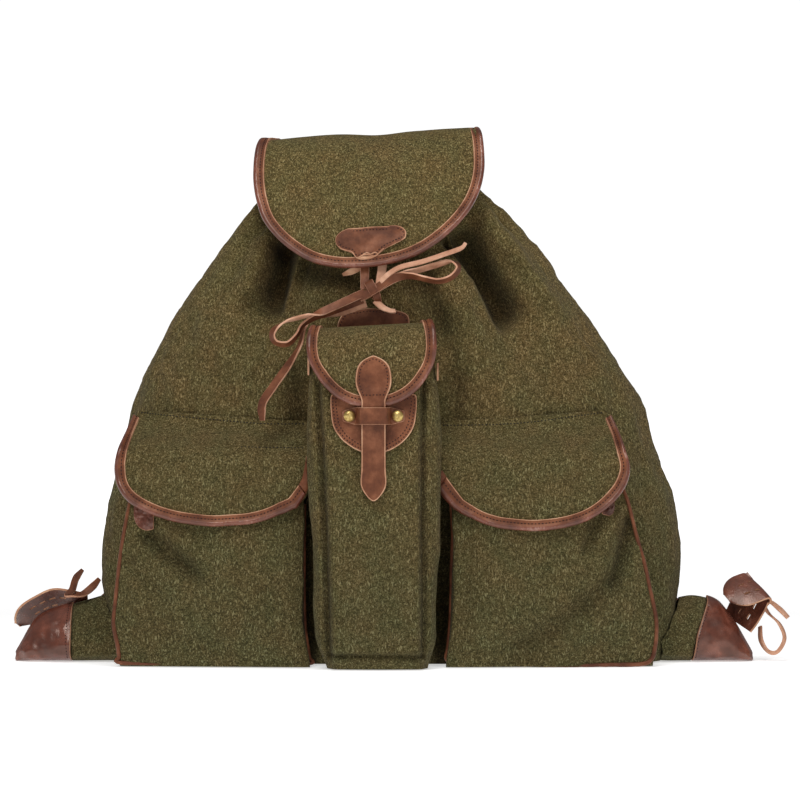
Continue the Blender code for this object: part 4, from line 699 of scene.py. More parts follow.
def reaches(node, heights, middles, ways):
    """How far the solid's outside lies from its middle, at each height and in each direction."""
    shell = welded(node)
    tree = BVHTree.FromBMesh(shell)
    shell.free()
    reach = np.full((len(heights), TURNS), np.nan)
    for r, z in enumerate(heights):
        centre = Vector((*middles[r], z))
        for c in range(TURNS):
            way = Vector((*ways[:, c], 0))
            hit = tree.ray_cast(centre + way * OUTSIDE, -way)[0]
            if hit is not None and (hit - centre).dot(way) > 0:
                reach[r, c] = (hit - centre).length
    for r in range(1, len(heights)):
        reach[r] = np.where(np.isnan(reach[r]), reach[r - 1], reach[r])
    return np.nan_to_num(reach, nan=0.02)


def respaced(x, y, count):
    """Points spaced evenly along a line in plan, without its last one."""
    along = np.concatenate([[0], np.cumsum(np.hypot(np.diff(x), np.diff(y)))])
    at = np.linspace(0, along[-1], count + 1)[:-1]
    return np.stack([np.interp(at, along, x), np.interp(at, along, y)], axis=1)


def skin_of(node, rows, back, front, middle, stretch=(1.0, 1.0), softness=(4.5, 2.2)):
    """Rows of points of a tube's outer skin, from its foot to its top. middle gives x and y at a height."""
    low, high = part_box(node)
    heights = np.linspace(low.z + EDGE_MARGIN, high.z - EDGE_MARGIN, rows)
    turns = np.linspace(0, 2 * math.pi, TURNS + 1)[:-1]
    ways = np.stack([np.cos(turns) * stretch[0], np.sin(turns) * stretch[1]])
    ways /= np.linalg.norm(ways, axis=0)
    middles = np.array([middle(z) for z in heights])
    reach = blurred(reaches(node, heights, middles, ways), *softness)
    x = middles[:, :1] + reach * ways[0]
    y = middles[:, 1:] + reach * ways[1]
    half = TURNS // 2
    skin = []
    for r, z in enumerate(heights):
        u, v = np.append(x[r], x[r, 0]), np.append(y[r], y[r, 0])
        behind = respaced(u[:half + 1], v[:half + 1], back)
        ring = np.concatenate([behind, respaced(u[half:], v[half:], front)])
        skin.append(np.column_stack([ring, np.full(len(ring), z)]))
    return np.array(skin)


def sack_middle(z):
    """The middle of the sack at a height: it leans a little to the left, as it stands in the photo."""
    return np.interp(z, (0.0, 0.2, 0.3, 0.38, 0.445), (-0.006, -0.010, -0.017, -0.020, -0.023)), 0.0


SKINS = {
    "sack": dict(rows=144, back=84, front=236, middle=sack_middle),
    "side_pocket_left": dict(rows=120, back=70, front=180, middle=lambda z: (-0.160, -0.092),
                             stretch=(0.084, 0.024), softness=(7, 4)),
    "side_pocket_right": dict(rows=120, back=70, front=180, middle=lambda z: (0.130, -0.092),
                              stretch=(0.088, 0.024), softness=(7, 4)),
    "centre_pocket": dict(rows=190, back=45, front=185, middle=lambda z: (-0.022, -0.108),
                          stretch=(0.056, 0.040), softness=(5, 3)),
}
skins = {node: skin_of(node, **layout) for node, layout in SKINS.items()}
print("skins:", {node: skin.shape[:2] for node, skin in skins.items()})

# %% [markdown]
# The cloth folds where the full sack is drawn in to the narrow neck, and creases where a pocket is tight.
# Each fold is a valley from a point at its top to one at its foot, steeper on one side than on the other,
# with soft ridges beside it. bend bows it sideways, and dark says how much shade is painted into its valley,
# for how little light gets in there. A few shallow rows are mostly painted shade: the lid's shadow below its
# edge, and the shade beside the middle pocket. They were placed one by one, because where a real bag folds is
# what makes it look like itself.

# %% Where the folds are
FOLD_COLUMNS = ("top_x", "top_z", "foot_x", "foot_z", "depth", "left_width", "right_width", "bend", "dark")
FOLDS = {
    "sack": (
        (-0.0925, 0.3600, -0.1030, 0.3140, 0.0300, 0.0180, 0.0034, 0.0000, 0.78),
        (-0.1160, 0.4020, -0.0980, 0.3580, 0.0090, 0.0110, 0.0060, 0.0000, 0.66),
        (0.0430, 0.3680, 0.0870, 0.2960, 0.0300, 0.0040, 0.0190, 0.0030, 0.80),
        (0.0200, 0.3420, 0.0370, 0.2900, 0.0100, 0.0130, 0.0090, 0.0000, 0.58),
        # The next three rows are shallow and mostly paint the shadow that the lid casts below its edge.
        (-0.0820, 0.3450, -0.0380, 0.3350, 0.0060, 0.0120, 0.0070, 0.0000, 0.78),
        (-0.0240, 0.3600, -0.0220, 0.3300, 0.0030, 0.0060, 0.0060, 0.0000, 0.70),
        (-0.0100, 0.3480, 0.0440, 0.3580, 0.0020, 0.0060, 0.0070, 0.0000, 0.42),
        # The next two rows mostly paint the shade beside the middle pocket.
        (-0.0930, 0.2580, -0.0870, 0.2130, 0.0040, 0.0110, 0.0090, 0.0000, 0.50),
        (0.0520, 0.2480, 0.0500, 0.2150, 0.0030, 0.0090, 0.0090, 0.0000, 0.28),
        (0.0400, 0.2820, 0.0480, 0.2350, 0.0040, 0.0080, 0.0080, 0.0000, 0.14),
        (-0.1250, 0.3700, -0.1500, 0.3200, 0.0040, 0.0060, 0.0080, 0.0000, 0.10),
        (0.0900, 0.3550, 0.1300, 0.3050, 0.0040, 0.0060, 0.0090, 0.0000, 0.10),
        (-0.1360, 0.3140, -0.0980, 0.3060, 0.0050, 0.0080, 0.0050, 0.0000, 0.25),
        (-0.1900, 0.2900, -0.1500, 0.2450, 0.0025, 0.0090, 0.0090, 0.0000, 0.05),
        (0.1500, 0.2850, 0.1200, 0.2350, 0.0025, 0.0090, 0.0090, 0.0000, 0.05),
    ),
    "side_pocket_left": (
        (-0.2170, 0.1140, -0.1760, 0.0810, 0.0075, 0.0070, 0.0080, 0.0000, 0.52),
        (-0.2350, 0.0900, -0.2050, 0.0600, 0.0030, 0.0060, 0.0060, 0.0000, 0.12),
        (-0.1000, 0.0700, -0.1300, 0.0300, 0.0022, 0.0080, 0.0080, 0.0000, 0.08),
        (-0.2300, 0.0330, -0.1500, 0.0200, 0.0020, 0.0070, 0.0070, 0.0000, 0.06),
    ),
    "side_pocket_right": (
        (0.1995, 0.1270, 0.1850, 0.0760, 0.0085, 0.0060, 0.0070, 0.0000, 0.55),
        (0.1690, 0.1310, 0.1600, 0.1030, 0.0050, 0.0060, 0.0060, 0.0000, 0.36),
        (0.1820, 0.0740, 0.1000, 0.0160, 0.0055, 0.0100, 0.0100, 0.0030, 0.34),
        (0.0600, 0.1000, 0.0560, 0.0400, 0.0020, 0.0060, 0.0060, 0.0000, 0.08),
    ),
    "centre_pocket": (
        (-0.0700, 0.2450, -0.0604, 0.0150, 0.0062, 0.0024, 0.0030, 0.0010, 0.62),
        (0.0200, 0.2450, 0.0203, 0.0150, 0.0062, 0.0030, 0.0024, 0.0000, 0.62),
        (-0.0640, 0.0125, 0.0260, 0.0115, 0.0034, 0.0022, 0.0022, 0.0000, 0.50),
        (-0.0400, 0.0850, -0.0150, 0.0750, 0.0010, 0.0060, 0.0060, 0.0000, 0.04),
    ),
}
print("folds:", {node: len(folds) for node, folds in FOLDS.items()})

# %% [markdown]
# A fold's depth follows a bell curve across its valley and fades at both ends. The smaller dents and the thin
# creases come from noise. Beside the middle pocket there is a narrow gap at each side, and shade is painted
# into it all the way down.

# %% How the folds press in
GAPS = ((-0.0780, 0.0075), (0.0370, 0.0085))
GAP_FRONT, GAP_DEPTH, GAP_TOP, GAP_FADE = -0.090, 0.020, 0.172, 0.03


def between_pockets(rows):
    """How deep each point lies in the two gaps beside the middle pocket, as a share of painted shade. GAPS
    gives their x and width.
    """
    x, y, z = rows[..., 0], rows[..., 1], rows[..., 2]
    beside = sum(np.exp(-((x - middle) / reach) ** 4) for middle, reach in GAPS)
    behind = (y < 0) * np.clip((y - GAP_FRONT) / GAP_DEPTH, 0, 1)
    return beside * behind * np.clip((GAP_TOP - z) / GAP_FADE, 0, 1)


FADE_TOP, FADE_FOOT = 0.012, 0.022
RIDGE_HEIGHT, RIDGE_PLACE, RIDGE_WIDTH = 0.2, 2.2, 0.9


def valley(x, z, fold):
    """How far a fold presses in at each place, with a low ridge at each side, and how much shade is painted
    there.
    """
    row = dict(zip(FOLD_COLUMNS, fold))
    run = np.array((row["foot_x"] - row["top_x"], row["foot_z"] - row["top_z"]))
    length = np.linalg.norm(run)
    along = ((x - row["top_x"]) * run[0] + (z - row["top_z"]) * run[1]) / length ** 2
    aside = ((x - row["top_x"]) * -run[1] + (z - row["top_z"]) * run[0]) / length
    aside = aside - row["bend"] * 4 * np.clip(along, 0, 1) * (1 - np.clip(along, 0, 1))
    fade = np.clip(along * length / FADE_TOP + 0.8, 0, 1)
    fade = fade * np.clip((1 - along) * length / FADE_FOOT + 0.7, 0, 1)
    fade = fade * fade * (3 - 2 * fade)
    away = aside / np.where(aside < 0, row["left_width"], row["right_width"])
    press = fade * np.exp(-away ** 2)
    ridge = RIDGE_HEIGHT * fade * np.exp(-((np.abs(away) - RIDGE_PLACE) / RIDGE_WIDTH) ** 2)
    return row["depth"] * (press - ridge), row["dark"] * press


def noise_at(points, scale, depth=3, offset=0.0):
    """Blender's own fractal noise at many points, from about -1 to 1."""
    shift = Vector((offset,) * 3)
    return np.array([noise.fractal(Vector(p) * scale + shift, 1.0, 2.1, depth) for p in points])


def row_normals(rows):
    """The direction out of a closed grid's surface at each point."""
    across = np.roll(rows, -1, axis=1) - np.roll(rows, 1, axis=1)
    up = np.gradient(rows, axis=0)
    out = np.cross(across, up)
    return out / np.linalg.norm(out, axis=2, keepdims=True)


DEEPEST, DARKEST = 0.034, 0.93
DENT_SCALE, LINE_SCALE = 17.0, 40.0
UPRIGHT = np.array((1.0, 1.0, 0.55))
FLAT_FOOT, SLUMP_HEIGHT = 0.01, 0.03


def creased(rows, folds, dents, lines, offset):
    """The skin with folds pressed in from the front, dents and thin creases, and how much shade is painted at
    each point.
    """
    out = row_normals(rows)
    x, z = rows[..., 0], rows[..., 2]
    facing = np.clip(-out[..., 1] * 1.8, 0, 1)
    pressed = [valley(x, z, fold) for fold in folds]
    depth = np.minimum(sum(depth for depth, _ in pressed) * facing, DEEPEST)
    hollow = np.clip(sum(dark for _, dark in pressed) * facing + between_pockets(rows), 0, DARKEST)
    pulled = rows.reshape(-1, 3) * UPRIGHT
    soft = noise_at(pulled, DENT_SCALE, 2, offset).reshape(z.shape)
    thin = -np.abs(noise_at(pulled, LINE_SCALE, 3, offset + 5.0).reshape(z.shape))
    slump = np.clip((z - FLAT_FOOT) / SLUMP_HEIGHT, 0, 1)
    moved = slump * (dents * soft + lines * (thin + 0.25))
    inwards = np.stack([-0.25 * out[..., 0], -out[..., 1], -0.25 * out[..., 2]], axis=2)
    return rows + out * moved[..., None] + inwards * depth[..., None], hollow


print("a fold is at most", DEEPEST * 1000, "mm deep")

# %% [markdown]
# The neck is drawn together by its lace in many small pleats, which run out further down. Then each skin is
# made a closed tube: rings lead in to the middle of its foot, and a Solidify modifier grows the felt
# inwards, so that the outside stays where it was laid.

# %% The sack and its pockets
PLEATS, PLEAT_DEPTH = 19, 0.0032
NECK_FOOT, NECK_RUN, NECK_TOP = 0.34, 0.07, 0.43
NECK_MIDDLE = -0.022
FOOT_SHARES, FOOT_HEIGHT = (0.96, 0.85, 0.6), 0.0012
FELT_THICK = 0.003


def gathered(rows):
    """The sack's neck, drawn together in many small pleats by its lace."""
    out = row_normals(rows)
    turn = np.arctan2(rows[..., 1], rows[..., 0] - NECK_MIDDLE)
    drawn = np.clip((rows[..., 2] - NECK_FOOT) / NECK_RUN, 0, 1) ** 1.5
    uneven = 0.8 * np.sin(3 * turn) + 2.5 * (rows[..., 2] - NECK_TOP)
    pleats = np.cos(turn * PLEATS + uneven) * PLEAT_DEPTH * drawn
    return rows + out * pleats[..., None]


def felt_tube(node, rows, hollow):
    """A sack or pocket from its skin: closed at the foot and walled inwards as felt is."""
    high, count = rows.shape[:2]
    points = list(rows.reshape(-1, 3))
    faces = ring_faces(high, count)
    low = rows[0]
    middle = low.mean(axis=0)
    above = 0
    for share in FOOT_SHARES:
        start = len(points)
        ring = middle + (low - middle) * share
        ring[:, 2] = FOOT_HEIGHT
        points += list(ring)
        faces += [(above + (c + 1) % count, above + c, start + c, start + (c + 1) % count)
                  for c in range(count)]
        above = start
    faces.append(tuple(range(start + count - 1, start - 1, -1)))
    obj = mesh_object(f"dressed_{node}", points, faces)
    # The painted shade of the folds and gaps is kept as a point attribute for the cloth.
    dark = obj.data.attributes.new("hollow", "FLOAT", "POINT")
    darkness = np.concatenate([hollow.ravel(), np.zeros(len(FOOT_SHARES) * count)])
    dark.data.foreach_set("value", darkness.astype(np.float32))
    solid = obj.modifiers.new("felt", "SOLIDIFY")
    solid.thickness = FELT_THICK
    solid.offset = -1.0
    obj.data = plain_mesh(obj)
    obj.modifiers.clear()
    return finish_piece(obj, (LODEN_CLOTH,), "loden", node, sharp=60)


DENTS = {"sack": (0.0040, 0.0036), "side_pocket_left": (0.0028, 0.0022),
         "side_pocket_right": (0.0028, 0.0022), "centre_pocket": (0.0016, 0.0014)}
dressed = {}
for number, (node, (dents, lines)) in enumerate(DENTS.items(), 1):
    rows = gathered(skins[node]) if node == "sack" else skins[node]
    dressed[node] = felt_tube(node, *creased(rows, FOLDS[node], dents, lines, 3.0 * number))
    print(node, "has", made[f"dressed_{node}"], "faces")

# %% [markdown]
# The flaps and corners are the same cloth, cut flat and sewn. They take the frame's own shape, made fine
# and smooth, and are then ruffled a little. Both sides of a flap move together, so that it keeps its
# thickness, and its binding is moved by the same waves. Towards the middle pocket the side flaps run on
# until they meet it.

# %% How cloth and its bindings are moved
TOWARDS_VIEWER = np.array((0.0, -1.0, 0.0))
FLAP_WAVES = {"top_flap": (0.0016, 24.0, 0.0012), "centre_flap": (0.0009, 26.0, 0.0008),
              "side_flap_left": (0.0018, 24.0, 0.0016), "side_flap_right": (0.0018, 24.0, 0.0016)}
CORNER_WAVES = (0.0014, 22.0, 0.0012)
RUN_ON, RUN_ON_REACH = 0.0085, 0.018
LEFT_FLAP_END, RIGHT_FLAP_END = -0.104, 0.062
LID_LIFT, LID_DIP, LID_EDGE, DIP_PLACE = 0.0022, 0.0030, 0.43, -0.019
FLAP_SLOPE, FLAP_LOW, FLAP_RIGHT = 0.0055, 0.255, 0.026


def waved(places, depth, scale, crease, offset=0.0):
    """Points moved to and from the viewer by a soft noise and by thin creases."""
    soft = noise_at(places, scale, 2, offset)
    lines = np.abs(noise_at(places * np.array((1.0, 1.0, 0.7)), scale * 2.3, 3, offset + 5.0))
    return places + (depth * soft - crease * (lines - 0.25))[:, None] * TOWARDS_VIEWER


def run_on(places, node):
    """A side flap's inner part, stretched until it meets the middle pocket."""
    x = places[:, 0]
    if node.endswith("left"):
        x = x + np.clip((x - LEFT_FLAP_END) / RUN_ON_REACH, 0, 1) * RUN_ON
    else:
        x = x - np.clip((RIGHT_FLAP_END - x) / RUN_ON_REACH, 0, 1) * RUN_ON
    return np.column_stack([x, places[:, 1:]])


def sewn_on(places, node):
    """A flap's upper edge as it was sewn on: the lid's dips in the middle, the middle flap's slopes."""
    x, y, z = places.T
    if node == "top_flap":
        lift = LID_LIFT * np.clip((x - 0.02) / 0.04, 0, 1)
        dip = LID_DIP * np.exp(-((x - DIP_PLACE) / 0.024) ** 2)
        z = z + (lift - dip) * np.clip((z - LID_EDGE) / 0.02, 0, 1)
    if node == "centre_flap":
        slope = FLAP_SLOPE * np.clip((FLAP_RIGHT - x) / 0.1, 0, 1)
        z = z - slope * np.clip((z - FLAP_LOW) / 0.035, 0, 1)
    return np.column_stack([x, y, z])


RIGHT_SEAM = ((0.002, 0.2552), (0.024, 0.2587), (0.052, 0.2693))
PLAIN_SEAM_X, SEAM_REACH_IN, SEAM_REACH_OUT = 0.266, 0.030, 0.026


def right_seam(z):
    """Where the right corner's seam is at a height. RIGHT_SEAM holds heights and places."""
    return np.interp(z, *zip(*RIGHT_SEAM))


def seam_curved(places):
    """The right corner's cloth and cap, moved so that the seam between them bows as it was sewn."""
    x, z = places[:, 0], places[:, 2]
    inside = (x - PLAIN_SEAM_X + SEAM_REACH_IN) / SEAM_REACH_IN
    outside = (PLAIN_SEAM_X + SEAM_REACH_OUT - x) / SEAM_REACH_OUT
    near = np.clip(np.where(x < PLAIN_SEAM_X, inside, outside), 0, 1)
    return np.column_stack([x + near * (right_seam(z) - PLAIN_SEAM_X), places[:, 1:]])


def move_points(obj, change):
    """Moves a piece's corners by a function of their places."""
    places = change(corner_places(obj.data).reshape(-1, 3))
    obj.data.vertices.foreach_set("co", places.ravel())
    obj.data.update()


print("flaps run on by", RUN_ON * 1000, "mm towards the middle pocket")

# %% [markdown]
# The corners are waved, and the right one's seam is bowed. The flaps are made finer than the corners,
# because they show more. A flap with round corners fills only a part of its rectangle.

for node in ("corner_wing_left", "corner_wing_right"):
    piece = finer(f"dressed_{node}", welded(node), 2, 30)
    move_points(piece, lambda places: waved(places, *CORNER_WAVES))
    if node.endswith("right"):
        move_points(piece, seam_curved)
    dressed[node] = finish_piece(piece, (LODEN_CLOTH,), "loden", node, sharp=60)
    print(node, made[piece.name])

for node, waves in FLAP_WAVES.items():
    piece = finer(f"dressed_{node}", welded(node), 3, 60)
    if "side" in node:
        move_points(piece, lambda places: run_on(places, node))
    move_points(piece, lambda places: sewn_on(waved(places, *waves), node))
    dressed[node] = finish_piece(piece, (LODEN_CLOTH,), "loden", node, sharp=60)
    print(node, made[piece.name])

# %% [markdown]
# The leather pieces keep crisp edges where they were cut. Their thin sides show the raw core of the hide, so
# the narrow groups of faces get the tan material and the broad ones the grain. The corner caps are stretched
# over their corners, polished by wear and puckered, so that they catch the light in streaks, and their
# leather adds streaks of painted highlight.

# %% Leather pieces from the frame
RAW_WIDTH = 0.0026


def finer_leather(node, levels, angle=40, crease=0.75):
    """A leather piece from the frame, smooth, with its cut edges in the raw material."""
    shell = welded(node)
    for group in sides_of(shell, angle):
        raw = mean_width(group) < RAW_WIDTH
        for face in group:
            face.material_index = int(raw)
    return finer(f"dressed_{node}", shell, levels, angle, crease)


CUT_ANGLE = 50
HIDE_WAVES = (0.0003, 60.0, 0.0, 4.0)
CAP_WAVES = (0.0024, 32.0, 0.0028, 4.0)
SIDE_TAB_WAVES = (0.0011, 110.0, 0.0014, 1.0)
STRAPS = ("shoulder_strap_left", "shoulder_strap_right", "strap_yoke")
TRIM = ("flap_patch", "front_patch", "closure_patch", "closure_strap", "closure_keeper",
        "mouth_tab_left", "mouth_tab_right")
for node in STRAPS + TRIM:
    piece = finer_leather(node, 2 if node in STRAPS else 3, CUT_ANGLE)
    move_points(piece, lambda places: waved(places, *HIDE_WAVES))
    if node == "flap_patch":
        move_points(piece, lambda places: waved(places, *FLAP_WAVES["top_flap"]))
    dressed[node] = finish_piece(piece, (GRAIN, RAW_EDGE), "leather", node)
    print(node, made[piece.name])

# %% [markdown]
# The caps, the small tabs under the side flaps and the rivets come in pairs. The drawstring is one lace round
# the neck, mostly hidden in the pleats under the lid.

# %% Caps, small tabs, rivets and the drawstring
for side in ("left", "right"):
    cap = finer_leather(f"corner_cap_{side}", 3, CUT_ANGLE)
    move_points(cap, lambda places: waved(places, *CAP_WAVES))
    if side == "right":
        move_points(cap, seam_curved)
    dressed[f"corner_cap_{side}"] = finish_piece(cap, (POLISHED, RAW_EDGE), "leather", f"corner_cap_{side}")
    tab = finer_leather(f"side_tab_{side}", 4, CUT_ANGLE)
    move_points(tab, lambda places: waved(places, *SIDE_TAB_WAVES))
    finish_piece(tab, (POLISHED, RAW_EDGE), "leather", f"side_tab_{side}")
    rivet = finer(f"dressed_rivet_{side}", welded(f"rivet_{side}"), 3, 70, 0.6)
    finish_piece(rivet, (BRASS,), "brass", f"rivet_{side}")
    print(side, "cap, tab and rivet:", made[cap.name], made[tab.name], made[rivet.name])
finish_piece(finer("dressed_drawstring", welded("drawstring"), 2, 50, 0.7), (GRAIN,), "lace", "drawstring")
print("drawstring", made["dressed_drawstring"])

# %% [markdown]
# The corner tabs are tongues of thick leather with two rows of slots for the laces. Each is laid out as a
# grid of small cells, along and across. The cells of a slot are left out, and a wall of leather is grown
# round the rest, so that every cut edge, also inside the slots, shows the tan core. Each row below holds x,
# y and z of a point on the tongue's middle line, and then the x, y and z of the way across the tongue
# there.

# %% The corner tabs
LEFT_CORNER_TAB = (
    (-0.2760, 0.0159, 0.0480, 0.0, 0.80, -0.60), (-0.2900, 0.0168, 0.0506, 0.0, 0.80, -0.60),
    (-0.3050, 0.0180, 0.0515, 0.0, 0.80, -0.60), (-0.3190, 0.0180, 0.0460, 0.0, 0.80, -0.60),
    (-0.3320, 0.0180, 0.0380, 0.0, 0.80, -0.60), (-0.3390, 0.0180, 0.0310, 0.0, 0.80, -0.60),
)
RIGHT_CORNER_TAB = (
    (0.2977, 0.0001, 0.0321, -0.40, 0.72, 0.57), (0.3055, -0.0010, 0.0460, -0.50, 0.68, 0.53),
    (0.3120, -0.0010, 0.0590, -0.53, 0.66, 0.53), (0.3155, -0.0035, 0.0640, -0.53, 0.66, 0.53),
    (0.3130, -0.0075, 0.0665, -0.53, 0.66, 0.53), (0.3040, -0.0110, 0.0640, -0.53, 0.66, 0.53),
    (0.2940, -0.0140, 0.0600, -0.53, 0.66, 0.53), (0.2860, -0.0160, 0.0560, -0.53, 0.66, 0.53),
)
TAB_WIDTH, TAB_THICK, TAB_CELL = 0.038, 0.002, 0.0011
TAB_CURL = 0.0012
NARROWEST_HALF = 0.005
SLOT_LENGTH, SLOT_WIDTH = 0.0048, 0.0021


def half_width(to_end):
    """Half the tongue's width, this far from its round end."""
    radius = TAB_WIDTH / 2
    if to_end > radius:
        return radius
    return math.sqrt(max(radius ** 2 - (radius - to_end) ** 2, NARROWEST_HALF ** 2))


def in_slot(along, across, slots):
    """Whether a place on the tongue lies in one of its slots."""
    return any(abs(along - a) < SLOT_LENGTH / 2 and abs(across - b) < SLOT_WIDTH / 2 for a, b in slots)


def make_tab(node, rows, slots):
    """A tongue with a round end. slots are (along, across) places in metres from its root and its middle."""
    points, sides, length = route_of(rows, TAB_CELL)
    count, across_count = len(points), int(TAB_WIDTH / TAB_CELL)
    at = np.linspace(0, 1, count)
    verts = []
    for k, place in enumerate(points):
        along = heading(points, k)
        side = (sides[k] - along * along.dot(sides[k])).normalized()
        half = half_width((1 - at[k]) * length)
        out = along.cross(side)
        for c in range(across_count + 1):
            share = 2 * c / across_count - 1
            curl = TAB_CURL * share ** 2 * (1 + noise.noise(place * 40))
            verts.append(place + side * (half * share) + out * curl)
    faces = []
    for k in range(count - 1):
        for c in range(across_count):
            across = ((c + 0.5) / across_count - 0.5) * TAB_WIDTH
            if not in_slot((k + 0.5) / (count - 1) * length, across, slots):
                base = k * (across_count + 1) + c
                faces.append((base, base + 1, base + across_count + 2, base + across_count + 1))
    obj = mesh_object(f"dressed_{node}", verts, faces)
    for material in (POLISHED, RAW_EDGE):
        obj.data.materials.append(material)
    solid = obj.modifiers.new("hide", "SOLIDIFY")
    solid.thickness = TAB_THICK
    solid.offset = 0.0
    solid.material_offset_rim = 1
    obj.data = plain_mesh(obj)
    obj.modifiers.clear()
    loose = bmesh.new()
    loose.from_mesh(obj.data)
    bmesh.ops.delete(loose, geom=[v for v in loose.verts if not v.link_faces], context="VERTS")
    loose.to_mesh(obj.data)
    loose.free()
    finish_piece(obj, (), "leather", node, sharp=50)
    return obj


LEFT_SLOTS = [(a, b) for a in (0.022, 0.031, 0.040, 0.049) for b in (-0.006, 0.006)]
RIGHT_SLOTS = [(a, b) for a in (0.010, 0.020, 0.046, 0.056) for b in (-0.007, 0.005)]
make_tab("corner_tab_left", LEFT_CORNER_TAB, LEFT_SLOTS)
make_tab("corner_tab_right", RIGHT_CORNER_TAB, RIGHT_SLOTS)
free_lace("corner_lace_left", CORNER_LACE_LEFT, "bare", width=0.0065, tips=(0.5, 0.6))
free_lace("corner_lace_right", CORNER_LACE_RIGHT, "bare", width=0.0068, tips=(0.8, 0.8))
print("tabs and corner laces are made")

# %% [markdown]
# Lines of thread and lines of raw edge follow the outlines of the pieces. These helpers read such a line
# from the frame: both edges of a binding's front strip, or a patch's outline moved in by a few millimetres.
# The line is then laid on the finished surface, or thrown onto it from the camera's side.

# %% Lines that follow a piece
def front_side(shell, angle=40):
    """The group of faces that shows the most of itself from the front and a little from above."""
    groups = sides_of(shell, angle)
    return max(groups, key=lambda g: sum(max(-f.normal.y + 0.35 * f.normal.z, 0) * f.calc_area() for f in g))


def strip_edges(node):
    """The outer and the inner edge of a binding's front strip, walked from one end to the other."""
    shell = welded(node)
    group = set(front_side(shell, 60))

    def shared(face):
        return [edge for edge in face.edges if sum(other in group for other in edge.link_faces) == 2]

    face = next(face for face in sorted(group, key=lambda f: f.index) if len(shared(face)) == 1)
    edge = shared(face)[0]
    tips = [next(v for v in face.verts if v not in edge.verts)]
    sides = ([edge.verts[0]], [edge.verts[1]])
    while True:
        face = next(other for other in edge.link_faces if other is not face)
        onward = [other for other in shared(face) if other is not edge]
        if not onward:
            break
        edge = onward[0]
        grown = 1 if sides[0][-1] in edge.verts else 0
        sides[grown].append(edge.other_vert(sides[1 - grown][-1]))
    tips.append(next(v for v in face.verts if v not in edge.verts))
    lines = [[v.co.copy() for v in side] for side in sides]
    for tip, end, inner in ((tips[0].co.copy(), 0, 1), (tips[1].co.copy(), -1, -2)):
        run = ((lines[0][inner] + lines[1][inner]) - (lines[0][end] + lines[1][end])).normalized()
        best = max((0, 1), key=lambda k: abs((tip - lines[k][end]).normalized().dot(run)))
        lines[best].insert(0 if end == 0 else len(lines[best]), tip)
    tree = BVHTree.FromBMesh(shell)
    shell.free()
    lines.sort(key=length_of, reverse=True)
    return lines[0], lines[1], tree


def outline(node, inset):
    """The outline of a patch's front, as seen from the front, moved in by the inset. It is a closed line."""
    shell = welded(node)
    group = set(front_side(shell))
    onward = {}
    for face in group:
        for loop in face.loops:
            if sum(other in group for other in loop.edge.link_faces) == 1:
                onward[loop.vert.index] = (loop.link_loop_next.vert.index, loop.vert.co.copy())
    first = min(onward)
    line, at = [], first
    while True:
        onto, place = onward[at]
        line.append(place)
        at = onto
        if at == first:
            break
    shell.free()
    return moved_in(line, inset)


def moved_in(line, inset):
    """A closed line moved in towards its own inside, in the front view."""
    flat = np.array([(p.x, p.z) for p in line])
    area = np.sum(flat[:, 0] * np.roll(flat[:, 1], -1) - np.roll(flat[:, 0], -1) * flat[:, 1])
    along = np.roll(flat, -1, axis=0) - np.roll(flat, 1, axis=0)
    along /= np.linalg.norm(along, axis=1, keepdims=True)
    way = np.stack([-along[:, 1], along[:, 0]], axis=1) * np.sign(area)
    flat += way * inset
    return [Vector((x, p.y, z)) for (x, z), p in zip(flat, line)]


def evenly(line, step, closed=False):
    """A smooth line with points this far apart."""
    whole = [Vector(place) for place in line]
    if closed:
        whole.append(whole[0])
    return through(whole, max(int(length_of(whole) / step), 4))


def laid_on(line, objects, lift):
    """The line moved onto the nearest finished surface, and lifted off it a little."""
    tree = surface_tree(*objects)
    result = []
    for place in line:
        near, normal, _, _ = tree.find_nearest(place)
        result.append(near + normal * lift)
    return result


def seen_on(flat_line, objects, lift, step=0.0015):
    """A line through (x, z) places, thrown onto the first surface that the camera sees there."""
    tree = surface_tree(*objects)
    result = []
    for place in evenly([(x, -0.6, z) for x, z in flat_line], step):
        hit, normal, _, _ = tree.ray_cast(place, Vector((0, 1, 0)))
        if hit is not None:
            result.append(hit + normal * lift)
    return result


print("ready to draw lines on the pieces")

# %% [markdown]
# The bindings are strips of leather folded over the flaps' edges. Inside there is a flat band, pressed down
# by the stitches and ending in a thin raw edge, and outside the rounded fold, which is rubbed to a polish and
# carries the polished leather's painted highlights.
# That profile is swept along both edges of the frame's plain strip: each of its points gives a share of the
# way from the inner edge to the outer one, and a height. A side flap's binding starts where it comes out
# from behind the middle pocket, so its last points are drawn on until they are hidden there.

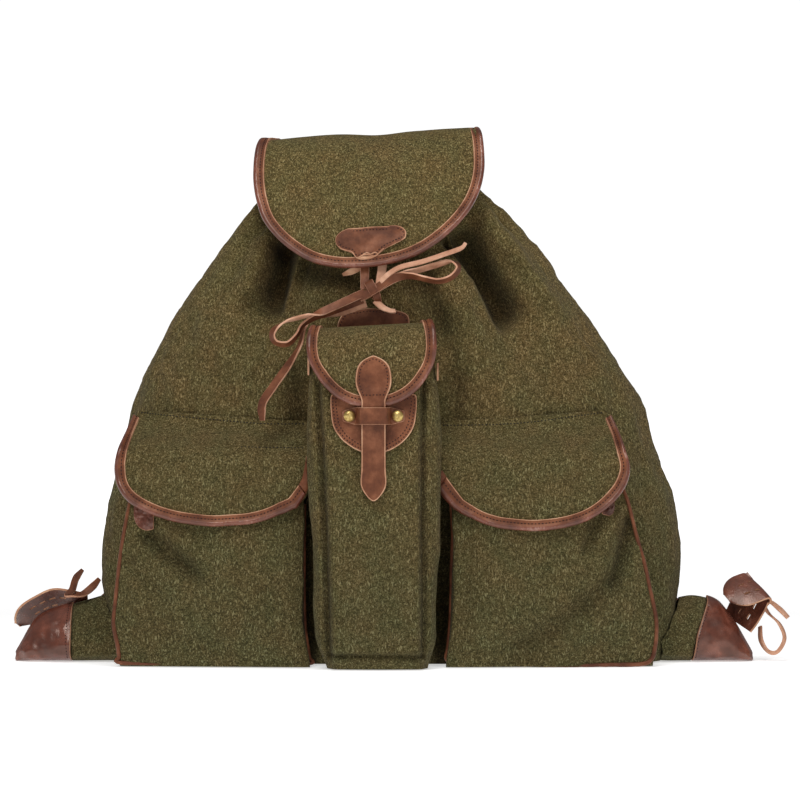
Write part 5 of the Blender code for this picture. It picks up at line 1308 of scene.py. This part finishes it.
# %% Bindings
BINDING_STEP = 0.0016
BINDING_PROFILE = ((0.10, -0.0016), (0.10, 0.0005), (0.16, 0.0008), (0.30, 0.0008), (0.43, 0.0002),
                   (0.56, 0.0008), (0.70, 0.0016), (0.84, 0.0017), (0.96, 0.0010), (1.04, -0.0003),
                   (1.02, -0.0018), (0.90, -0.0030), (0.50, -0.0034))
RAW_SIDES, POLISHED_SIDES = (0, 1), (6, 7, 8)
SEAM_SHARE, SEAM_HEIGHT = 0.43, 0.0004
POCKET_MIDDLE, POCKET_LEFT, POCKET_RIGHT = -0.022, -0.105, 0.062
ROUND_CORNER_TOP = 0.1545
LOOSE_POINTS, TUCK_POINTS = 6, 5
TUCK_DEPTH, THINNEST, THIN_FROM = 0.001, 0.4, 0.165
TUCK_COLUMNS = ("inner_x", "inner_z", "outer_x", "outer_z")
TUCKED_ENDS = {
    "side_flap_left": ((-0.0850, 0.1605, -0.0781, 0.1537), (-0.0820, 0.1710, -0.0772, 0.1648),
                       (-0.0808, 0.1820, -0.0764, 0.1776)),
    "side_flap_right": ((0.0420, 0.1621, 0.0326, 0.1518), (0.0369, 0.1706, 0.0292, 0.1604)),
}


def without_inner_arm(outer, inner):
    """Pairs of points, without those that stand beside the middle pocket above the flap's round corner."""
    kept = [(a, b) for a, b in zip(outer, inner)
            if not (POCKET_LEFT < b.x < POCKET_RIGHT and b.z > ROUND_CORNER_TOP)]
    return [a for a, _ in kept], [b for _, b in kept]


def tucked(outer, inner, flap):
    """Both edges of a side flap's binding, run on behind the middle pocket, and thinner high up."""
    if abs(outer[0][0] - POCKET_MIDDLE) < abs(outer[-1][0] - POCKET_MIDDLE):
        outer, inner = outer[::-1], inner[::-1]
    outer, inner = outer[:-LOOSE_POINTS], inner[:-LOOSE_POINTS]
    rows = [dict(zip(TUCK_COLUMNS, row)) for row in TUCKED_ENDS[flap]]
    count = len(outer) + TUCK_POINTS * len(rows)
    outer_y, inner_y = outer[-1][1] + TUCK_DEPTH, inner[-1][1] + TUCK_DEPTH
    outer = through([*outer, *((row["outer_x"], outer_y, row["outer_z"]) for row in rows)], count)
    inner = through([*inner, *((row["inner_x"], inner_y, row["inner_z"]) for row in rows)], count)
    thinner = [THINNEST * min(max((place.z - THIN_FROM) / 0.05, 0), 1) for place in inner]
    return outer, [b.lerp(a, share) for a, b, share in zip(outer, inner, thinner)]


def binding_edges(node):
    """Both edges of a binding, moved with its flap, and the way out from the cloth at each point."""
    flap = node.replace("_binding", "")
    outer, inner, tree = strip_edges(node)
    count = int(length_of(outer) / BINDING_STEP)
    outer, inner = through(outer, count), through(inner, count)
    if "side" in node:
        outer, inner = without_inner_arm(outer, inner)
        outer, inner = (run_on(np.array([tuple(p) for p in line]), flap) for line in (outer, inner))
        outer, inner = tucked(outer, inner, flap)
    ways = []
    middles = [(Vector(a) + Vector(b)) / 2 for a, b in zip(outer, inner)]
    for k, middle in enumerate(middles):
        out = heading(middles, k).cross(Vector(outer[k]) - Vector(inner[k])).normalized()
        ways.append(out if out.dot(tree.find_nearest(middle)[1]) > 0 else -out)
    outer, inner = (waved(np.array([tuple(p) for p in line]), *FLAP_WAVES[flap]) for line in (outer, inner))
    if flap == "centre_flap":
        outer, inner = sewn_on(outer, flap), sewn_on(inner, flap)
    return outer, inner, ways


def make_binding(node):
    """A binding with its folded profile. Returns the line of its seam."""
    verts, seam = [], []
    outer, inner, ways = binding_edges(node)
    for far, near, way in zip(outer, inner, ways):
        far, near = Vector(far), Vector(near)
        verts += [near.lerp(far, share) + way * height for share, height in BINDING_PROFILE]
        seam.append(near.lerp(far, SEAM_SHARE) + way * SEAM_HEIGHT)
    count, size = len(seam), len(BINDING_PROFILE)
    finish = [1 if p in RAW_SIDES else 2 if p in POLISHED_SIDES else 0 for p in range(size)]
    faces = ring_faces(count, size)
    faces += [tuple(range(size)), tuple((count - 1) * size + p for p in range(size))]
    obj = mesh_object(f"dressed_{node}", verts, faces, finish * (count - 1) + [1, 1])
    turn_outwards(obj.data)
    dressed[node] = finish_piece(obj, (GRAIN, RAW_EDGE, POLISHED), "leather", node, sharp=50)
    return seam


BINDINGS = ("top_flap_binding", "centre_flap_binding", "side_flap_binding_left", "side_flap_binding_right")
seam_lines = [make_binding(node) for node in BINDINGS]
print("bindings:", {node: made[f"dressed_{node}"] for node in BINDINGS})

# %% [markdown]
# Stitches repeat, so Geometry Nodes makes them. The line becomes a curve, the curve gets a point for every
# stitch, and a short rounded thread is set on each point, turned to run along the line. One tree serves every
# seam, with the pitch, the length and the thickness of the thread as its inputs.

# %% The stitch tree
def make_stitch_tree():
    """A tree that sets a thread at every pitch of a line. Hand and machine both vary a stitch's length."""
    tree = bpy.data.node_groups.new("stitch_row", "GeometryNodeTree")
    face = tree.interface
    face.new_socket("Geometry", in_out="OUTPUT", socket_type="NodeSocketGeometry")
    face.new_socket("Seam", in_out="INPUT", socket_type="NodeSocketGeometry")
    for name, value in (("Pitch", 0.003), ("Stitch length", 0.002), ("Thread radius", 0.0004)):
        face.new_socket(name, in_out="INPUT", socket_type="NodeSocketFloat").default_value = value
    face.new_socket("Seed", in_out="INPUT", socket_type="NodeSocketInt").default_value = 1
    face.new_socket("Thread", in_out="INPUT", socket_type="NodeSocketMaterial")
    given, result = tree.nodes.new("NodeGroupInput"), tree.nodes.new("NodeGroupOutput")
    curve = tree.nodes.new("GeometryNodeMeshToCurve")
    spaced = add_node(tree, "GeometryNodeResampleCurve", mode="LENGTH")
    ball = add_node(tree, "GeometryNodeMeshUVSphere", {"Segments": 6, "Rings": 4, "Radius": 1.0})
    tangent = tree.nodes.new("GeometryNodeInputTangent")
    turn = add_node(tree, "FunctionNodeAlignEulerToVector", axis="X")
    size = tree.nodes.new("ShaderNodeCombineXYZ")
    half = add_node(tree, "ShaderNodeMath", {1: 0.5}, operation="MULTIPLY")
    vary = add_node(tree, "FunctionNodeRandomValue", data_type="FLOAT")
    vary.inputs[2].default_value, vary.inputs[3].default_value = 0.85, 1.12
    length = add_node(tree, "ShaderNodeMath", operation="MULTIPLY")
    place = tree.nodes.new("GeometryNodeInstanceOnPoints")
    real = tree.nodes.new("GeometryNodeRealizeInstances")
    paint = tree.nodes.new("GeometryNodeSetMaterial")
    join(tree, given, "Seam", curve, "Mesh")
    join(tree, curve, "Curve", spaced, "Curve")
    join(tree, given, "Pitch", spaced, "Length")
    join(tree, spaced, "Curve", place, "Points")
    join(tree, ball, "Mesh", place, "Instance")
    join(tree, tangent, "Tangent", turn, "Vector")
    join(tree, turn, "Rotation", place, "Rotation")
    join(tree, given, "Stitch length", half, 0)
    join(tree, given, "Seed", vary, "Seed")
    join(tree, half, "Value", length, 0)
    tree.links.new(vary.outputs[1], length.inputs[1])
    join(tree, length, "Value", size, "X")
    join(tree, given, "Thread radius", size, "Y")
    join(tree, given, "Thread radius", size, "Z")
    join(tree, size, "Vector", place, "Scale")
    join(tree, place, "Instances", real, "Geometry")
    join(tree, real, "Geometry", paint, "Geometry")
    join(tree, given, "Thread", paint, "Material")
    join(tree, paint, "Geometry", result, "Geometry")
    return tree


STITCH_TREE = make_stitch_tree()
STITCH_INPUTS = {item.name: item.identifier for item in STITCH_TREE.interface.items_tree
                 if item.in_out == "INPUT"}


def stitches(name, lines, pitch, length, radius, thread, slot="leather"):
    """Rows of stitches along lines of points."""
    points, edges = [], []
    for line in lines:
        edges += [(len(points) + k, len(points) + k + 1) for k in range(len(line) - 1)]
        points += [tuple(p) for p in line]
    mesh = bpy.data.meshes.new(name)
    mesh.from_pydata(points, edges, [])
    obj = bpy.data.objects.new(name, mesh)
    DRESSED.objects.link(obj)
    sewing = obj.modifiers.new("sewing", "NODES")
    sewing.node_group = STITCH_TREE
    inputs = {"Pitch": pitch, "Stitch length": length, "Thread radius": radius, "Seed": 3, "Thread": thread}
    for input_name, value in inputs.items():
        sewing[STITCH_INPUTS[input_name]] = value
    obj.data = plain_mesh(obj)
    obj.modifiers.clear()
    finish_piece(obj, (thread,), slot, sharp=80)
    print(name, "has", made[name], "faces")
    return obj


print("the stitch tree has", len(STITCH_TREE.nodes), "nodes and inputs", *STITCH_INPUTS)

# %% [markdown]
# Where leather is cut, its pale core shows as a fine line. A thin bead of the raw material runs round each
# patch. A thicker one in grain leather is the piping, which follows the edges of each side pocket's front.
# It is thin along the foot, where the full pocket hangs over it. Each row of the piping holds x, z and its
# radius.

# %% Raw edges and piping as beads
BEAD_STEP, BEAD_SIDES = 0.0016, 8


def spread(values, count):
    """Values spread evenly over more or fewer places."""
    return np.interp(np.linspace(0, 1, count), np.linspace(0, 1, len(values)), values)


def bead(name, line, radius, closed=False, material=RAW_EDGE, flat=0.6, nodes=()):
    """A flattened bead along a line of points. radius is one value, or one at each point of the line."""
    points = evenly(line, BEAD_STEP, closed)
    if closed:
        points = points[:-1]
    count = len(points)
    sizes = spread(np.broadcast_to(radius, len(line)), count)
    verts = []
    for k, place in enumerate(points):
        along = heading(points, k, closed)
        side = along.cross(Vector((0, -1, 0))).normalized()
        out = side.cross(along)
        size = sizes[k] * (1 + 0.12 * noise.noise(place * 300))
        for angle in np.linspace(0, 2 * math.pi, BEAD_SIDES + 1)[:-1]:
            verts.append(place + side * (size * math.cos(angle)) + out * (size * flat * math.sin(angle)))
    faces = ring_faces(count, BEAD_SIDES, closed)
    if not closed:
        faces += [tuple(range(BEAD_SIDES)), tuple((count - 1) * BEAD_SIDES + a for a in range(BEAD_SIDES))]
    obj = mesh_object(name, verts, faces)
    turn_outwards(obj.data)
    return finish_piece(obj, (material,), "leather", *nodes, sharp=70)


PIPING_FRONT, PIPING_LIFT = -0.096, 0.0006
PIPING = {
    "left": (
        (-0.2335, 0.1480, 0.0015), (-0.2387, 0.1135, 0.0016), (-0.2418, 0.0927, 0.0016),
        (-0.2449, 0.0719, 0.0017), (-0.2474, 0.0553, 0.0018), (-0.2480, 0.0366, 0.0019),
        (-0.2480, 0.0159, 0.0018), (-0.2464, 0.0065, 0.0015), (-0.2420, 0.0030, 0.0011),
        (-0.1825, 0.0024, 0.0009), (-0.1202, 0.0022, 0.0009), (-0.0760, 0.0034, 0.0010),
        (-0.0716, 0.0090, 0.0013), (-0.0756, 0.0220, 0.0015), (-0.0788, 0.0366, 0.0015),
        (-0.0794, 0.0615, 0.0015), (-0.0777, 0.0782, 0.0015), (-0.0766, 0.1093, 0.0015),
        (-0.0766, 0.1400, 0.0015),
    ),
    "right": (
        (0.0435, 0.1400, 0.0016), (0.0449, 0.1133, 0.0017), (0.0454, 0.0829, 0.0017),
        (0.0454, 0.0526, 0.0017), (0.0428, 0.0324, 0.0016), (0.0392, 0.0162, 0.0014),
        (0.0385, 0.0070, 0.0012), (0.0500, 0.0028, 0.0010), (0.1114, 0.0022, 0.0009),
        (0.1753, 0.0022, 0.0011), (0.2077, 0.0024, 0.0015), (0.2187, 0.0058, 0.0018),
        (0.2226, 0.0142, 0.0019), (0.2234, 0.0283, 0.0019), (0.2214, 0.0445, 0.0018),
        (0.2157, 0.0668, 0.0017), (0.2107, 0.0889, 0.0016), (0.2056, 0.1133, 0.0016),
        (0.1995, 0.1416, 0.0016), (0.1935, 0.1590, 0.0015),
    ),
}
for side, rows in PIPING.items():
    places = [Vector((x, PIPING_FRONT, z)) for x, z, _ in rows]
    route = laid_on(places, [dressed[f"side_pocket_{side}"]], PIPING_LIFT)
    for place, row in zip(route, rows):
        place.z = max(place.z, row[2] + 0.0004)
    bead(f"dressed_side_piping_{side}", route, [row[2] for row in rows], material=GRAIN, flat=1.0,
         nodes=(f"side_piping_{side}",))
    print("piping", side, "has", made[f"dressed_side_piping_{side}"], "faces")

# %% [markdown]
# Every seam in the leather gets its row of brown stitches. A patch has a bead of raw edge round it, and a
# row of stitches a little further in. The patch behind the strap is sewn twice.

# %% Seams and raw edges of the patches
RAW_INSET, RAW_RADIUS, SEAM_STEP = 0.0003, 0.00045, 0.0015
PATCHES = (("flap_patch", 0.0024), ("front_patch", 0.0026), ("closure_patch", 0.0022))


def raw_edge(node):
    """The bead of raw edge round a leather piece."""
    rim = evenly(outline(node, RAW_INSET), BEAD_STEP, closed=True)
    bead(f"raw_edge_of_{node}", laid_on(rim, [dressed[node]], 0.0), RAW_RADIUS, closed=True)


def seam_round(node, inset):
    """The line of a seam round a leather piece, this far in from its edge."""
    return laid_on(evenly(outline(node, inset), SEAM_STEP, closed=True), [dressed[node]], 0.0001)


stitches("binding_stitches", seam_lines, 0.0030, 0.0018, 0.00052, THREAD_BROWN)
patch_lines = []
for node, inset in PATCHES:
    raw_edge(node)
    patch_lines.append(seam_round(node, inset))
patch_lines.append(seam_round("closure_patch", 0.0050))
raw_edge("closure_strap")
print("raw edges:", [name for name in made if name.startswith("raw_edge")])

# %% [markdown]
# The lid's patch was cut by hand with a wavy notch low down, and its lower rim curls over the binding, so
# that the raw core shows there. Both are beads that swell and thin out. Each row holds x, z and the radius.

# %% The rim and the notch of the lid's patch
LID_PATCH_RIM = ((-0.0424, 0.3545, 0.0004), (-0.0369, 0.3507, 0.0012), (-0.0305, 0.3504, 0.0015),
                 (-0.0246, 0.3511, 0.0015), (-0.0178, 0.3537, 0.0012), (-0.0119, 0.3562, 0.0008),
                 (-0.0068, 0.3592, 0.0004))
LID_PATCH_NOTCH = ((-0.0318, 0.3532, 0.0004), (-0.0294, 0.3548, 0.0006), (-0.0268, 0.3546, 0.0006),
                   (-0.0250, 0.3534, 0.0006), (-0.0234, 0.3547, 0.0006), (-0.0210, 0.3552, 0.0006),
                   (-0.0190, 0.3541, 0.0004))
for name, rows in (("lower_rim_of_flap_patch", LID_PATCH_RIM), ("notch_of_flap_patch", LID_PATCH_NOTCH)):
    line = seen_on([row[:2] for row in rows], [dressed["flap_patch"], dressed["top_flap_binding"]], 0.0003)
    bead(name, line, spread([row[2] for row in rows], len(line)), flat=0.5)
    print(name, "has", made[name], "faces")

# %% [markdown]
# The closure strap is sewn down only over its tongue, above a row that runs straight across. The caps are
# sewn to the cloth along their inner edge.

# %% Seams of the strap and the caps
ROW_ACROSS = 0.2325
tongue = evenly(outline("closure_strap", 0.0026), SEAM_STEP, closed=True)
above = [place.z > ROW_ACROSS for place in tongue]
start = next(k for k in range(len(tongue)) if above[k] and not above[k - 1])
tongue = [p for p, high in zip(tongue[start:] + tongue[:start], above[start:] + above[:start]) if high]
tongue = evenly([*tongue, tongue[0]], SEAM_STEP)
patch_lines.append(laid_on(tongue, [dressed["closure_strap"]], 0.0001))
stitches("patch_stitches", patch_lines, 0.0028, 0.0015, 0.00052, THREAD_BROWN)

CAP_SEAMS = (("left", [(-0.2905, 0.050), (-0.2915, 0.026), (-0.2905, 0.004)]),
             ("right", [(right_seam(z) + 0.0028, z) for z in (0.004, 0.024, 0.048)]))
cap_lines = [seen_on(line, [dressed[f"corner_cap_{side}"]], 0.0001) for side, line in CAP_SEAMS]
stitches("cap_stitches", cap_lines, 0.0030, 0.0016, 0.00042, THREAD_BROWN)

# %% [markdown]
# The side flaps are sewn to the sack with olive thread. It sinks into the cloth and shows as a dotted line
# along their upper edges, with a second short row on the left.

# %% Seams in the cloth
CLOTH_SEAMS = (("left", [(-0.2239, 0.2180), (-0.1823, 0.2140), (-0.1201, 0.2088), (-0.0835, 0.2085)]),
               ("left", [(-0.1353, 0.1888), (-0.0835, 0.1880)]),
               ("right", [(0.0377, 0.2070), (0.1024, 0.2090), (0.1740, 0.2180)]))
cloth_lines = [seen_on(line, [dressed[f"side_flap_{side}"], dressed["sack"]], 0.0)
               for side, line in CLOTH_SEAMS]
stitches("cloth_stitches", cloth_lines, 0.0030, 0.0019, 0.00062, THREAD_OLIVE, "loden")

# %% [markdown]
# The rucksack stands on a wide white floor. Further out the floor glows as much as the white surroundings,
# so that no horizon shows from any side. Large soft lights stand in front of the rucksack and above it. The
# surroundings look white to the camera, but light the cloth only a little, so that its folds keep their
# shadows.

# %% The studio
FLOOR_RINGS, FLOOR_POINTS = (0.4, 1.0, 1.6, 2.4, 4.0, 10.0, 60.0), 64
WHITE = (1, 1, 1, 1)
LOOKED_AT = (0, 0, 0.2)


def make_floor():
    """A round floor of paper, with a glow that grows away from the middle."""
    turns = np.linspace(0, 2 * math.pi, FLOOR_POINTS + 1)[:-1]
    points = [(r * math.cos(t), r * math.sin(t), 0.0) for r in FLOOR_RINGS for t in turns]
    rings = [tuple(reversed(face)) for face in ring_faces(len(FLOOR_RINGS), FLOOR_POINTS)]
    obj = mesh_object("studio_floor", points, [tuple(range(FLOOR_POINTS)), *rings])
    material, tree, shader = new_material("studio_paper", (0.95, 0.95, 0.95), 0.9, specular_ior_level=0.1)
    shader.inputs["Emission Color"].default_value = WHITE
    place = add_node(tree, "ShaderNodeTexCoord")
    away = add_node(tree, "ShaderNodeVectorMath", operation="LENGTH")
    join(tree, place, "Object", away, 0)
    glow = add_node(tree, "ShaderNodeMapRange",
                    {"From Min": 0.9, "From Max": 2.6, "To Min": 0.5, "To Max": 1.05})
    join(tree, away, "Value", glow, "Value")
    join(tree, glow, "Result", shader, "Emission Strength")
    obj.data.materials.append(material)
    return obj


def make_light(name, place, size, power):
    """A square soft light that looks at the rucksack."""
    data = bpy.data.lights.new(name, "AREA")
    data.shape = "SQUARE"
    data.size = size
    data.energy = power
    obj = bpy.data.objects.new(name, data)
    obj.location = place
    obj.rotation_euler = (Vector(LOOKED_AT) - Vector(place)).to_track_quat("-Z", "Y").to_euler()
    DRESSED.objects.link(obj)
    return obj


floor = make_floor()
key = make_light("key_light", (-0.6, -2.2, 2.6), size=1.0, power=33)
fill = make_light("fill_light", (1.6, -2.6, 0.9), size=1.6, power=5)
top = make_light("top_light", (0.2, -0.8, 2.3), size=0.9, power=17)


def make_surroundings(name, on_cloth, to_camera):
    """White surroundings, with one strength as light and another as what the camera sees."""
    world = bpy.data.worlds.new(name)
    world.use_nodes = True
    tree = world.node_tree
    background = tree.nodes["Background"]
    background.inputs["Color"].default_value = WHITE
    ray = add_node(tree, "ShaderNodeLightPath")
    strength = add_node(tree, "ShaderNodeMapRange", {"To Min": on_cloth, "To Max": to_camera})
    join(tree, ray, "Is Camera Ray", strength, "Value")
    join(tree, strength, "Result", background, "Strength")
    return world


bpy.context.scene.world = make_surroundings("studio_surroundings", 0.23, 1.05)
bpy.context.scene.view_settings.view_transform = "Standard"
bpy.context.scene.view_settings.look = "None"
print("lights:", [(light.name, light.data.energy) for light in (key, fill, top)])

# %% [markdown]
# Last, the number of finished pieces and their faces are printed.

# %% Sizes and the end
print(len(made), "pieces with", sum(made.values()), "faces")
